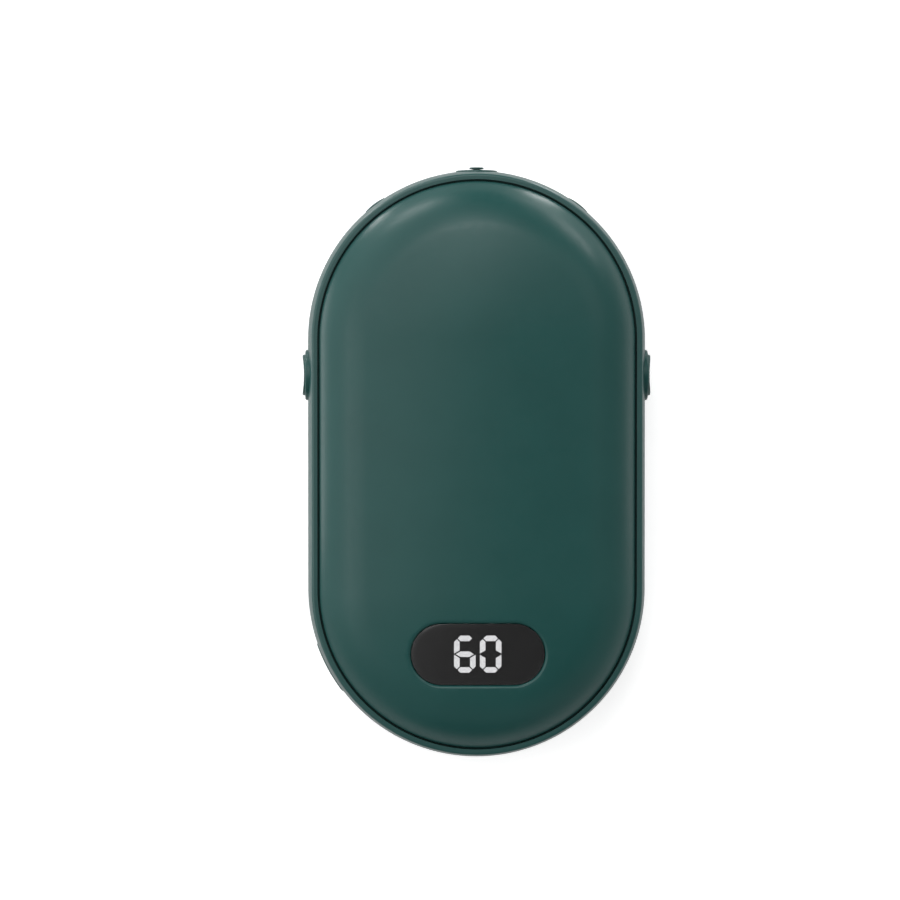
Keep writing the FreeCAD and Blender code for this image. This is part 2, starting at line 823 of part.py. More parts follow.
def button_hole(where):
    bore = "button_radius + wall_hole_room"
    seat = "ring_diameter / 2 + press_room"
    return turned(
        [
            ("flange_back", "0"),
            (PAST_SIDE, "0"),
            (PAST_SIDE, seat),
            ("ring_floor", seat),
            ("ring_floor", bore),
            ("flange_back", bore),
        ],
        **where,
    )


def stud_hole():
    bore = "stud_shank / 2 + stud_room"
    seat = "stud_flange / 2 + stud_room"
    return turned(
        [
            ("ledge_half", "0"),
            (PAST_SIDE, "0"),
            (PAST_SIDE, seat),
            ("stud_floor", seat),
            ("stud_floor", bore),
            ("ledge_half", bore),
        ],
        **TOP,
    )


def plug_hole(where):
    bore = "screw_diameter / 2 + screw_room"
    head = "head_diameter / 2 + screw_room"
    seat = "plug_diameter / 2 + press_room"
    return turned(
        [
            ("chassis_half", "0"),
            (PAST_SIDE, "0"),
            (PAST_SIDE, seat),
            ("plug_floor", seat),
            ("plug_floor", head),
            ("head_seat", head),
            ("head_seat", bore),
            ("chassis_half", bore),
        ],
        **where,
    )


def make_mid_frame():
    bosses = [rod("screw_boss", "chassis_z - screw_boss_height", "chassis_z", **at) for at in CHASSIS_SCREWS]
    bore = "screw_diameter + 2 * screw_room"
    bores = [rod(bore, "rear_rise", "mid", **at) for at in CHASSIS_SCREWS]
    slot = oblong("socket_width + 2 * socket_room", "socket_height + 2 * socket_room")
    frame = cut(
        fuse(band_ring(), port_lip(), *bosses),
        block(span("2 * band_inner"), BUTTON_BAY, ("rear_shelf", "front_shelf")),
        block(span("nut_bay"), ("end_y", "end_y + nut_face"), ("rear_shelf", "front_shelf")),
        radial_prism([slot], "socket_end", PAST_SIDE, z="socket_z", **PORT),
        stud_hole(),
        *[button_hole(where) for where in SIDES.values()],
        *[plug_hole(where) for where in PLUGS],
        *bores,
    )
    piece(frame, "mid_frame")


def make_seals():
    for label, low, high in (
        ("front_seal", "front_shelf", "front_rim"),
        ("rear_seal", "rear_rim", "rear_shelf"),
    ):
        inner = "band_inner + seal_room"
        outer = "lip_half - seal_room"
        piece(round_the_case([(inner, low), (outer, low), (outer, high), (inner, high)]), label)


# Display


SIDE_BAR = "((digit_width - digit_stroke) / 2)"
END_BAR = "((digit_height - digit_stroke) / 2)"
HALF = "digit_stroke / 2"


def level_bar(digit, y, tip, taper):
    """A bar across a digit, with two pointed ends."""
    return [
        (f"{digit} - {tip}", y),
        (f"{digit} - {tip} + {taper}", f"{y} - {HALF}"),
        (f"{digit} + {tip} - {taper}", f"{y} - {HALF}"),
        (f"{digit} + {tip}", y),
        (f"{digit} + {tip} - {taper}", f"{y} + {HALF}"),
        (f"{digit} - {tip} + {taper}", f"{y} + {HALF}"),
    ]


def side_bar(digit, side, end):
    """A bar up the side of a digit, pointed at its far end and cut along the middle bar's taper."""
    x = f"{digit} {side} {SIDE_BAR}"
    outer, inner = f"{x} {side} {HALF}", f"{x} {'-' if side == '+' else '+'} {HALF}"
    far = f"({END_BAR} - digit_gap)"
    slope = "digit_stroke / 2 / middle_tip"
    back = f"(2 * digit_gap - middle_inset * {slope})"
    corners = [
        (outer, f"window_y {end} {back}"),
        (inner, f"window_y {end} ({back} + digit_stroke * {slope})"),
        (inner, f"window_y {end} ({far} - {HALF})"),
        (x, f"window_y {end} {far}"),
        (outer, f"window_y {end} ({far} - {HALF})"),
    ]
    return corners if (side == "+") != (end == "+") else corners[::-1]


def bar(kind, digit):
    """Outline of one bar of a digit."""
    if kind == "g":
        return level_bar(digit, "window_y", "(digit_width / 2 - middle_inset)", "middle_tip")
    if kind in "ad":
        y = f"window_y {'+' if kind == 'a' else '-'} {END_BAR}"
        return level_bar(digit, y, f"({SIDE_BAR} - digit_gap)", HALF)
    return side_bar(digit, "+" if kind in "bc" else "-", "+" if kind in "bf" else "-")


LEFT_DIGIT = "-digit_pitch / 2"
RIGHT_DIGIT = "digit_pitch / 2"
LIT = [(kind, LEFT_DIGIT) for kind in "acdefg"] + [(kind, RIGHT_DIGIT) for kind in "abcdef"]
DARK = [("b", LEFT_DIGIT), ("g", RIGHT_DIGIT)]


def bars(chosen):
    """Flat bars of the display, each a solid of its own."""
    sketch = doc.addObject("Sketcher::SketchObject", "Bars")
    for kind, digit in chosen:
        draw(sketch, bar(kind, digit))
    place(sketch, z="segment_z")
    solid = doc.addObject("Part::Extrusion", "Extrusion")
    solid.Base = sketch
    solid.DirMode = "Normal"
    solid.Solid = True
    return bind(solid, LengthFwd="housing_top")


def lamp(kind, digit):
    """The lamp that stands under the middle of a bar."""
    across = {"b": "+", "c": "+", "e": "-", "f": "-"}
    x = f"{digit} {across[kind]} {SIDE_BAR}" if kind in across else digit
    up = {"a": END_BAR, "b": f"{END_BAR} / 2", "c": f"-{END_BAR} / 2", "d": f"-{END_BAR}"}
    up |= {"e": up["c"], "f": up["b"], "g": "0"}
    y = f"window_y + ({up[kind]})"
    long, short = "lamp_length", "lamp_width"
    wide, deep = (long, short) if kind in "agd" else (short, long)
    return block(span(wide, x), span(deep, y), ("board_top", "board_top + lamp_height"))


def make_display():
    flange = window_prism("lens_flange", "lens_z", "gasket_z")
    pane = common(window_prism("-lens_gap", "lens_z", "front_top"), under_dome("lens_inset"))
    piece(fuse(flange, pane), "display_lens")
    gasket = cut(
        window_prism("lens_flange", "gasket_z", "seat_z"),
        window_prism("0", "lens_z", "front_top"),
    )
    piece(gasket, "lens_gasket")
    lit = piece(bars(LIT), "lit_segments")
    dark = piece(bars(DARK), "dark_segments")
    housing = cut(
        block(span("housing_length"), span("housing_width", "window_y"), ("board_top", "display_z")),
        block(
            span("housing_length - 2 * housing_wall"),
            span("housing_width - 2 * housing_wall", "window_y"),
            ("board_z", "segment_z"),
        ),
        lit,
        dark,
    )
    piece(housing, "display_housing")
    piece(group(*[lamp(*one) for one in LIT + DARK]), "display_leds")


# Buttons and switches


def make_button(side, where):
    bore = "button_radius + button_fit"
    rim = "ring_diameter / 2"
    ring = turned(
        [
            ("ring_floor", bore),
            ("ring_tip - ring_edge", bore),
            ("ring_tip", f"{bore} + ring_edge", "ring_tip - ring_edge", f"{bore} + ring_edge", "left"),
            ("ring_tip", f"{rim} - ring_edge"),
            ("ring_tip - ring_edge", rim, "ring_tip - ring_edge", f"{rim} - ring_edge", "left"),
            ("ring_floor", rim),
        ],
        **where,
    )
    piece(ring, f"{side}_button_ring")
    edge = ("button_tip - button_edge", "button_radius - button_edge")
    cap = turned(
        [
            ("plunger_tip", "0"),
            ("button_tip", "0"),
            ("button_tip", edge[1]),
            (edge[0], "button_radius", *edge, "left"),
            ("flange_face", "button_radius"),
            ("flange_face", "button_flange / 2"),
            ("flange_back", "button_flange / 2"),
            ("flange_back", "stem_diameter / 2"),
            ("plunger_tip", "stem_diameter / 2"),
        ],
        **where,
    )
    turned_by = {"angle": where["angle"], "hub": where["hub"]}
    scoop = rod(
        "2 * dish_radius",
        "mid - button_diameter",
        "mid + button_diameter",
        "button_tip - button_dish + dish_radius",
        **turned_by,
    )
    piece(cut(cap, scoop), f"{side}_button")
    pocket = block(
        ("plunger_back - button_travel - plunger_room", PAST_SIDE),
        span("plunger_length + 2 * plunger_room"),
        span("plunger_height + 2 * plunger_room", "mid"),
        **turned_by,
    )
    body = block(
        ("switch_back", "switch_face"),
        span("switch_length"),
        span("switch_height", "mid"),
        **turned_by,
    )
    piece(cut(body, pocket), f"{side}_switch")
    plunger = block(
        ("plunger_back", "plunger_tip"),
        span("plunger_length"),
        span("plunger_height", "mid"),
        **turned_by,
    )
    piece(plunger, f"{side}_switch_plunger")


# Stud, plugs and screws


def make_stud():
    tip = "end_radius + stud_neck_proud + stud_head_height"
    top = "end_radius + stud_flange_proud"
    head = "stud_head / 2"
    flange = "stud_flange / 2"
    shank = "stud_shank / 2"
    end = "nut_face - nut_height"
    head_edge = (f"{tip} - stud_head_edge", f"{head} - stud_head_edge")
    flange_edge = (f"{top} - stud_edge", f"{flange} - stud_edge")
    stud = turned(
        [
            (end, "0"),
            (tip, "0"),
            (tip, head_edge[1]),
            (head_edge[0], head, *head_edge, "left"),
            (f"{tip} - 2 * stud_head_edge", head),
            ("end_radius + stud_neck_proud", "stud_neck / 2"),
            (top, flange_edge[1]),
            (flange_edge[0], flange, *flange_edge, "left"),
            ("stud_floor", flange),
            ("stud_floor", shank),
            (end, shank),
        ],
        **TOP,
    )
    piece(stud, "lanyard_stud")
    loops = [hexagon("nut_diameter"), circle("stud_shank / 2 + press_room")]
    piece(radial_prism(loops, end, "nut_face", **TOP), "stud_nut")


def make_frame_screws():
    plug = "plug_diameter / 2"
    tip = "end_radius + plug_proud + plug_dome"
    dome = f"(({plug})^2 + plug_dome^2) / (2 * plug_dome)"
    caps = [
        turned(
            [
                ("plug_floor", "0"),
                (tip, "0"),
                ("end_radius + plug_proud", plug, f"{tip} - {dome}", "0", "left"),
                ("plug_floor", plug),
            ],
            **where,
        )
        for where in PLUGS
    ]
    piece(group(*caps), "screw_plugs")
    point = "head_seat - frame_screw_length"
    screws = []
    for where in PLUGS:
        screw = turned(
            [
                (point, "0"),
                ("head_top", "0"),
                ("head_top", "head_diameter / 2"),
                ("head_seat", "head_diameter / 2"),
                ("head_seat", "screw_diameter / 2"),
                (point, "screw_diameter / 2"),
            ],
            **where,
        )
        slot = block(
            ("head_top - drive_depth", "head_top + drive_depth"),
            span("head_diameter + drive_width"),
            span("drive_width", "mid"),
            angle=where["angle"],
            hub=where["hub"],
        )
        screws.append(cut(screw, slot))
    piece(group(*screws), "frame_screws")


def upright_screw(seat, length, where):
    """A screw whose head stands on a flat face."""
    top = f"{seat} + head_height"
    screw = upright_turned(
        [
            ("0", f"{seat} - {length}"),
            ("screw_diameter / 2", f"{seat} - {length}"),
            ("screw_diameter / 2", seat),
            ("head_diameter / 2", seat),
            ("head_diameter / 2", top),
            ("0", top),
        ],
        **where,
    )
    x = where["x"]
    y = where.get("y", "0")
    slot = block(
        span("drive_width", x),
        span("head_diameter + drive_width", y),
        (f"{top} - drive_depth", f"{top} + drive_depth"),
        angle=where.get("angle", "0"),
        hub=where.get("hub", "0"),
    )
    return cut(screw, slot)


def make_upright_screws():
    low = [upright_screw("chassis_top", "chassis_screw_length", where) for where in CHASSIS_SCREWS]
    piece(group(*low), "chassis_screws")
    high = [upright_screw("board_top", "board_screw_length", where) for where in BOARD_SCREWS]
    piece(group(*high), "board_screws")


# Chassis, board and what is on it


def make_chassis():
    bore = "screw_diameter + 2 * screw_room"
    ribs = [
        block(
            ("chassis_half - boss_length", "chassis_half"),
            span("boss_width"),
            ("chassis_z", "board_z"),
            angle=where["angle"],
            hub=where["hub"],
        )
        for where in PLUGS
    ]
    posts = [rod("standoff_diameter", "chassis_z", "board_z", **where) for where in BOARD_SCREWS]
    bays = [
        block(
            ("switch_back - bay_room", PAST_SIDE),
            span("switch_length + 2 * bay_room"),
            ("ledge_z", "board_top"),
            angle=where["angle"],
            hub=where["hub"],
        )
        for where in SIDES.values()
    ]
    port_bay = block(
        ("socket_end - bay_room", PAST_SIDE),
        span("socket_width + 2 * bay_room"),
        ("ledge_z", "board_top"),
        **PORT,
    )
    wire_bay = block(
        span("wire_bay_length"),
        ("-guard_face - wire_bay_width", "-guard_face"),
        ("ledge_z", "board_top"),
    )
    radial = [
        turned(
            [
                ("chassis_half - boss_length", "0"),
                (PAST_SIDE, "0"),
                (PAST_SIDE, f"({bore}) / 2"),
                ("chassis_half - boss_length", f"({bore}) / 2"),
            ],
            **where,
        )
        for where in PLUGS
    ]
    tall = [rod(bore, "board_top - board_screw_length", "board_top", **where) for where in BOARD_SCREWS]
    low = [rod(bore, "ledge_z", "board_top", **where) for where in CHASSIS_SCREWS]
    plate = prism([case_outline("chassis_half")], "chassis_z", "chassis_top")
    chassis = cut(fuse(plate, *ribs, *posts), *bays, port_bay, wire_bay, *radial, *tall, *low)
    piece(chassis, "chassis")


def make_board():
    bore = "screw_diameter + 2 * screw_room"
    holes = [rod(bore, "chassis_top", PAST_FRONT, **where) for where in BOARD_SCREWS]
    piece(cut(prism([case_outline("board_half")], "board_z", "board_top"), *holes), "main_board")
    chip = block(
        span("chip_size", "chip_side"),
        span("chip_size", "-chip_low"),
        ("board_top", "board_top + chip_height"),
    )
    piece(chip, "controller_chip")
    outline = rounded("coil_size", "coil_size", "coil_corner", "-chip_side", "-chip_low")
    piece(prism([outline], "board_top", "board_top + coil_height"), "inductor")
    row_shares = (-2.5, -1.5, -0.5, 0.5, 1.5, 2.5)
    small = [
        block(
            span("capacitor_length", f"capacitor_pitch * {share}"),
            span("capacitor_width", "-capacitor_low"),
            ("board_top", "board_top + capacitor_height"),
        )
        for share in row_shares
    ]
    piece(group(*small), "capacitors")


def make_socket():
    outer = oblong("socket_width", "socket_height")
    inner = oblong("socket_width - 2 * socket_wall", "socket_height - 2 * socket_wall")
    back = "socket_end + socket_back"
    shell = cut(
        radial_prism([outer], "socket_end", "socket_mouth", z="socket_z", **PORT),
        radial_prism([inner], back, PAST_SIDE, z="socket_z", **PORT),
    )
    piece(shell, "usb_shell")
    tongue = block(
        (back, f"{back} + tongue_length"),
        span("tongue_width"),
        span("tongue_height", "socket_z"),
        **PORT,
    )
    piece(tongue, "usb_tongue")
    tip = f"{back} + tongue_length"
    faces = (
        ("socket_z + tongue_height / 2", "socket_z + tongue_height / 2 + contact_height"),
        ("socket_z - tongue_height / 2 - contact_height", "socket_z - tongue_height / 2"),
    )
    row_shares = (-3, -2, -1, 0, 1, 2, 3)
    contacts = [
        block(
            (f"{tip} - contact_length", tip),
            span("contact_width", f"contact_pitch * {share}"),
            face,
            **PORT,
        )
        for share in row_shares
        for face in faces
    ]
    piece(group(*contacts), "usb_contacts")


# Cell, heaters and leads


def make_cell():
    outline = rounded("cell_width", "cell_length", "cell_corner")
    piece(prism([outline], "cell_z", "cell_top"), "battery_cell")
    tape = block(
        span("cell_width - 2 * tape_inset"),
        span("cell_length - 2 * tape_inset"),
        ("cell_top", "chassis_z"),
    )
    piece(tape, "battery_tape")
    guard = block(
        span("guard_width"),
        ("-guard_face", "-cell_length / 2"),
        span("guard_height", "cell_middle"),
    )
    piece(guard, "protection_board")


def make_lead(label, x):
    """A lead out of the protection board that bends up to the main board."""
    bend = size("lead_bend")
    radius = size("lead_diameter / 2")
    side = size(x)
    start = FreeCAD.Vector(side, -size("guard_face"), size("cell_middle"))
    bend_start = start - FreeCAD.Vector(0, radius, 0)
    pivot = bend_start + FreeCAD.Vector(0, 0, bend)
    slant = FreeCAD.Vector(0, -1, -1).normalize() * bend
    bend_end = pivot - FreeCAD.Vector(0, bend, 0)
    end = FreeCAD.Vector(side, bend_end.y, size("board_z"))
    route = Part.Wire(
        [
            Part.LineSegment(start, bend_start).toShape(),
            Part.Arc(bend_start, pivot + slant, bend_end).toShape(),
            Part.LineSegment(bend_end, end).toShape(),
        ]
    )
    section = Part.Wire(Part.makeCircle(radius, start, FreeCAD.Vector(0, 1, 0)))
    lead = doc.addObject("Part::Feature", "Lead")
    lead.Shape = route.makePipeShell([section], True, False)
    lead.Placement = FreeCAD.Placement()
    piece(lead, label)


def make_rear_heater():
    film = prism([case_outline("rear_film_half")], "cover_wall", "rear_film_top")
    piece(film, "rear_heater")
    foam = block(span("2 * rear_film_half"), span("cell_length"), ("rear_film_top", "cell_z"))
    piece(foam, "rear_foam")
    leads = [
        rod("lead_diameter", "rear_film_top", "board_z", x, "-rear_lead_low")
        for x in ("heater_lead_side", "-heater_lead_side")
    ]
    piece(group(*leads), "rear_heater_leads")
    sensor = block(
        span("sensor_length"),
        span("sensor_width", "-rear_lead_low"),
        ("rear_film_top", "rear_film_top + sensor_height"),
    )
    piece(sensor, "rear_thermistor")


def make_front_heater():
    depth = "front_film_depth"
    film = round_the_case(
        [
            ("film_reach", crown_height("cover_wall", "film_reach")),
            ("0", "front_top - cover_wall", "0", "crown_z", "left"),
            ("0", f"front_top - {depth}"),
            ("film_reach", crown_height(depth, "film_reach"), "0", "crown_z", "right"),
        ]
    )
    upper = block(span("body_width"), ("-film_low", "body_length / 2"), ("board_top", "front_top"))
    piece(common(film, upper), "front_heater")
    foam = block(span("2 * foam_half_width"), ("-foam_low", "foam_high"), ("board_top", "front_top"))
    piece(common(foam, under_dome(depth)), "front_foam")
    high = crown_height(depth, "heater_lead_side + lead_diameter / 2")
    leads = [
        rod("lead_diameter", "board_top", high, x, "-front_lead_low")
        for x in ("heater_lead_side", "-heater_lead_side")
    ]
    piece(group(*leads), "front_heater_leads")
    under = crown_height(depth, "sensor_length / 2")
    sensor = block(
        span("sensor_length"),
        span("sensor_width", "-front_lead_low"),
        (f"{under} - sensor_height", under),
    )
    piece(sensor, "front_thermistor")


def write_parts():
    """Checks every object of the document, then writes one file per sub-part."""
    doc.recompute()
    failed = [thing.Label for thing in doc.Objects if {"Invalid", "Error"} & set(thing.State)]
    bad = [thing.Label for thing in PIECES if thing.Shape.isNull() or not thing.Shape.isValid()]
    if failed or bad:
        raise RuntimeError(f"failed objects {failed}, bad shapes {bad}")
    os.makedirs("parts", exist_ok=True)
    for thing in PIECES:
        thing.Shape.exportStep(f"parts/{thing.Label}.step")
        print(thing.Label, len(thing.Shape.Solids), round(thing.Shape.Volume, 2))


make_front_cover()
make_rear_cover()
make_mid_frame()
make_seals()
make_display()
for side, where in SIDES.items():
    make_button(side, where)
make_stud()
make_frame_screws()
make_upright_screws()
make_chassis()
make_board()
make_socket()
make_cell()
make_lead("positive_lead", "lead_side")
make_lead("negative_lead", "-lead_side")
make_rear_heater()
make_front_heater()
write_parts()
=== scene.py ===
"""Looks of a rechargeable hand warmer: enamelled covers, waist band, push buttons and display.

Lengths are in metres, in the frame's own axes. The object lies on its back: +Z points out of the
display face, +Y to the end with the lanyard stud and +X to the right of the display.
"""

import json
import math

import bmesh
import bpy
from mathutils import Matrix, Vector


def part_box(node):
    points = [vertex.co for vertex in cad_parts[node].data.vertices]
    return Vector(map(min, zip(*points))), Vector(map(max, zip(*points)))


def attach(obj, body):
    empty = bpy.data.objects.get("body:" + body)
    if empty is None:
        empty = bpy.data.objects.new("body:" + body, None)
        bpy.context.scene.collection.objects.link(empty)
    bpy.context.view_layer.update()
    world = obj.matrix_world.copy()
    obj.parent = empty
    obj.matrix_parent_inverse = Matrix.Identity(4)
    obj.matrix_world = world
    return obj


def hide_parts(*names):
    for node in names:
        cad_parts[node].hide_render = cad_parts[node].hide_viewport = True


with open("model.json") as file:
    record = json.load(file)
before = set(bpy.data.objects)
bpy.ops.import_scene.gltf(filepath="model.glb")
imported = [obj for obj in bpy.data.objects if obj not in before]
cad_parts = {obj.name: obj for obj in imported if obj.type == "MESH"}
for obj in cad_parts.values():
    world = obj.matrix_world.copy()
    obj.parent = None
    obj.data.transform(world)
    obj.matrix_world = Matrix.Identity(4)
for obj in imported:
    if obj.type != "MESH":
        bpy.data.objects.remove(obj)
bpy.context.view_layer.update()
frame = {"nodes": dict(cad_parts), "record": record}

MM = 0.001


# Sizes read from the frame

band_low, band_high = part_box("mid_frame")
front_low, front_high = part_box("front_cover")
END_RADIUS = band_high.x  # both ends of the case are half rounds of this radius
END_Y = -band_low.y - END_RADIUS  # where the half rounds begin
MID = (band_low.z + band_high.z) / 2  # middle of the band's depth
BAND_TOP = band_high.z
BAND_BASE = band_low.z
COVER_HALF = front_high.x  # half width of a cover at the seam
FRONT_TOP = front_high.z
FRONT_SKIRT = front_low.z
REAR_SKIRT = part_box("rear_cover")[1].z
WINDOW_Y = sum(v.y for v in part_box("display_lens")) / 2
SEAT_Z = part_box("lens_gasket")[1].z
LENS_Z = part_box("display_lens")[0].z
GASKET_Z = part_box("lens_gasket")[0].z
BUTTON_Y = sum(v.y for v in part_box("right_button_ring")) / 2
BUTTON_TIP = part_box("right_button")[1].x
BUTTON_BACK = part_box("right_button")[0].x
RING_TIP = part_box("right_button_ring")[1].x
RING_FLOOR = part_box("right_button_ring")[0].x
STUD_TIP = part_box("lanyard_stud")[1].y - END_Y
SOCKET_Z = sum(v.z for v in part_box("usb_shell")) / 2

# Sizes of the case that the boxes don't give

BULGE = 0.85 * MM  # how far the band swells at its middle
LIP_ROUND = 0.5 * MM  # outer edge of the band's lips
SEAM = 0.4 * MM  # open seam between a lip and its cover
SHELF = 1.5 * MM  # depth of that seam
SEAL = 0.9 * MM  # height of the seal in it
LIP_HALF = COVER_HALF + SEAM
FRONT_SHELF = BAND_TOP - SHELF
REAR_SHELF = BAND_BASE + SHELF
BAND_INNER = END_RADIUS - 3.4 * MM
LEDGE = 4.0 * MM  # shelf inside the band that carries the chassis
LEDGE_HEIGHT = 1.3 * MM
LEDGE_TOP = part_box("chassis")[0].z

WALL = 1.6 * MM
RIM_ROUND = 0.5 * MM  # edge of a cover at the seam
CROWN_RADIUS = 130.0 * MM  # of the front dome's middle
CROWN_INSET = 8.65 * MM  # from the seam to where the front dome turns down
EDGE_TILT = math.radians(56.4)  # slope of the front dome at the seam
REST_INSET = 15.85 * MM  # from the seam to the flat at the back
SHOULDER_RADIUS = 45.0 * MM  # of the rear dome next to that flat
SHOULDER_INSET = 9.85 * MM  # from the seam to where the rear dome turns up
REAR_TILT = math.radians(58.4)  # slope of the rear dome at the seam
SKIRT_OUTER = BAND_INNER - 0.15 * MM
SKIRT_INNER = SKIRT_OUTER - 1.4 * MM
BEAD = 0.3 * MM  # how far the snap bead stands out of a skirt
BEAD_HALF = 0.45 * MM
GROOVE = 0.1 * MM  # room round the bead in the band

WINDOW = (23.55 * MM, 10.9 * MM)  # length and width
WINDOW_ROUND = 0.6 * MM
LENS_GAP = 0.05 * MM
LENS_INSET = 0.4 * MM  # how far the pane lies below the dome
LENS_EDGE = 0.05 * MM
LENS_FLANGE = 1.2 * MM
FLANGE_ROOM = 0.15 * MM

BUTTON_RADIUS = 3.65 * MM
BUTTON_EDGE = 0.35 * MM
BUTTON_DISH = 0.38 * MM
BUTTON_FLANGE = 4.5 * MM
BUTTON_ROOM = 0.2 * MM
FLANGE_FACE = BAND_INNER - 0.2 * MM
FLANGE_DEPTH = 0.8 * MM
STEM_RADIUS = 1.2 * MM
RING_RADIUS = 4.5 * MM
RING_BORE = BUTTON_RADIUS + 0.08 * MM
RING_EDGE = 0.3 * MM
PRESS_ROOM = 0.02 * MM  # round a piece that is set into the band
BUTTON_BAY = 11.4 * MM

SOCKET = (8.94 * MM, 3.2 * MM)  # length and width
PORT_ROOM = 0.12 * MM
PORT_LIP = 0.35 * MM
PORT_PROUD = 0.15 * MM
PORT_EDGE = 0.09 * MM
PORT_SINK = 1.0 * MM  # how far the lip is let into the band

STUD_FLANGE = 3.7 * MM
STUD_SEAT = END_RADIUS - 0.8 * MM
STUD_SHANK = 1.5 * MM
STUD_NECK = 0.45 * MM
STUD_NECK_AT = END_RADIUS + 0.2 * MM
STUD_FACE = END_RADIUS + 0.02 * MM
STUD_EDGE = 0.15 * MM
STUD_HEAD = 1.275 * MM
STUD_HEAD_EDGE = 0.12 * MM
STUD_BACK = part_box("lanyard_stud")[0].y - END_Y

PLUG_RADIUS = 2.05 * MM
PLUG_FLOOR = END_RADIUS - 1.0 * MM
PLUG_PROUD = 0.04 * MM
PLUG_DOME = 0.23 * MM

PAST = 4.0 * MM  # how far a cut runs past what it cuts

# Places on the rim: turn from +X, place of the turning centre on Y, height on Z

RIGHT = (0.0, BUTTON_Y, MID)
LEFT = (math.pi, BUTTON_Y, MID)
TOP = (math.radians(90), END_Y, MID)
PLUG_TURN = 37  # degrees either side of the stud
PLUGS = [(math.radians(90 + turn), END_Y, MID) for turn in (-PLUG_TURN, PLUG_TURN)]
PORT_TURN = 208.5  # degrees from +X
PORT = (math.radians(PORT_TURN), -END_Y, SOCKET_Z)

# Fineness of the meshes

ARC_STEP = math.radians(2.5)  # most that one facet of a section's arc turns
ARC_RUN = 1.0 * MM  # greatest length of such a facet
END_STEPS = 96  # facets of a half round
ROUND_STEPS = 72  # facets of a turned piece
OBLONG_ARC = 24  # points round each end of the window or the port
OBLONG_RUN = 10  # points along each of its straight sides
BUTTON_RINGS = 10  # rings across a button's face
PLUG_RINGS = (1, 0.97, 0.9, 0.75, 0.55, 0.3, 0)  # shares of a plug's radius
PANE_RINGS = (0.15, 0.35, 0.55, 0.75, 0.9, 0.97)  # shares of the way to the pane's middle line
CREASE = 32  # degrees past which an edge stays sharp
STUD_CREASE = 25
WELD = 0.0005 * MM  # points closer than this are one


# Making meshes and nodes


def section(*steps):
    """Points of a section, half width against height.

    A step is a straight run to (r, z), or an arc when a centre and a turn follow: 1 left, -1 right.
    """
    points = [Vector(steps[0])]
    for step in steps[1:]:
        end = Vector(step[:2])
        if len(step) > 2:
            centre, turn = Vector(step[2:4]), step[4]
            spoke, last = points[-1] - centre, end - centre
            sweep = math.atan2(last.y, last.x) - math.atan2(spoke.y, spoke.x)
            sweep = turn * ((turn * sweep) % math.tau)
            count = math.ceil(max(abs(sweep) / ARC_STEP, abs(sweep) * spoke.length / ARC_RUN, 2))
            for number in range(1, count):
                points.append(centre + Matrix.Rotation(sweep * number / count, 2) @ spoke)
        points.append(end)
    return points


def skin(loops, ring=False):
    """A mesh through a row of loops, joined up when it is a ring. A loop of one point is a pole."""
    mesh = bmesh.new()
    rows = [[mesh.verts.new(point) for point in loop] for loop in loops]
    for one, other in zip(rows, rows[1:] + rows[:1] if ring else rows[1:]):
        count = max(len(one), len(other))
        for place in range(count):
            after = (place + 1) % count
            corners = [one[place % len(one)], one[after % len(one)]]
            corners += [other[after % len(other)], other[place % len(other)]]
            mesh.faces.new(dict.fromkeys(corners))
    if not ring:
        for row in (rows[0], rows[-1]):
            if len(row) > 1:
                mesh.faces.new(row)
    return mesh


def outward(place):
    """Turns a local frame, X outwards, to its place on the rim of the case."""
    turn, hub, height = place
    return Matrix.Translation((0, hub, height)) @ Matrix.Rotation(turn, 4, "Z")


def turned(profile, place, ring=False):
    """A piece turned about an outward axis from points (distance out, radius)."""
    loops = []
    for along, radius in profile:
        if radius == 0:
            loops.append([Vector((along, 0, 0))])
            continue
        angles = [math.tau * number / ROUND_STEPS for number in range(ROUND_STEPS)]
        loops.append([Vector((along, radius * math.cos(a), radius * math.sin(a))) for a in angles])
    mesh = skin(loops, ring)
    mesh.transform(outward(place))
    return mesh


def oblong(size, spread):
    """Points round a shape with straight sides and half-round ends, grown by spread all round."""
    reach, radius = (size[0] - size[1]) / 2, size[1] / 2 + spread
    points = []
    for side in (1, -1):
        for number in range(OBLONG_ARC):
            angle = math.pi * number / OBLONG_ARC - math.pi / 2
            points.append(side * Vector((reach + radius * math.cos(angle), radius * math.sin(angle))))
        for number in range(OBLONG_RUN):
            points.append(side * Vector((reach - 2 * reach * number / OBLONG_RUN, radius)))
    return points


def rounding(out, spread, soft, turn, angles=(22.5, 45, 67.5)):
    """Points (out, spread) that round off a corner, drawing its spread in by turn -1 or out by 1."""
    points = []
    for angle in map(math.radians, angles):
        drop, shift = soft * (1 - math.sin(angle)), soft * (1 - math.cos(angle))
        points.append((out - drop, spread + turn * shift))
    return points


def block(low, high):
    """A box between two corners, to cut with."""
    mesh = bmesh.new()
    bmesh.ops.create_cube(mesh, size=1.0)
    low, high = Vector(low), Vector(high)
    mesh.transform(Matrix.Translation((low + high) / 2) @ Matrix.Diagonal((*(high - low), 1)))
    return mesh


def new_piece(name, *meshes):
    """One object from closed meshes, with its place in the mesh and its faces turned outwards."""
    data = bpy.data.meshes.new(name)
    whole = bmesh.new()
    for mesh in meshes:
        mesh.to_mesh(data)
        mesh.free()
        whole.from_mesh(data)
    bmesh.ops.recalc_face_normals(whole, faces=whole.faces)
    whole.to_mesh(data)
    whole.free()
    piece = bpy.data.objects.new(name, data)
    bpy.context.scene.collection.objects.link(piece)
    return piece


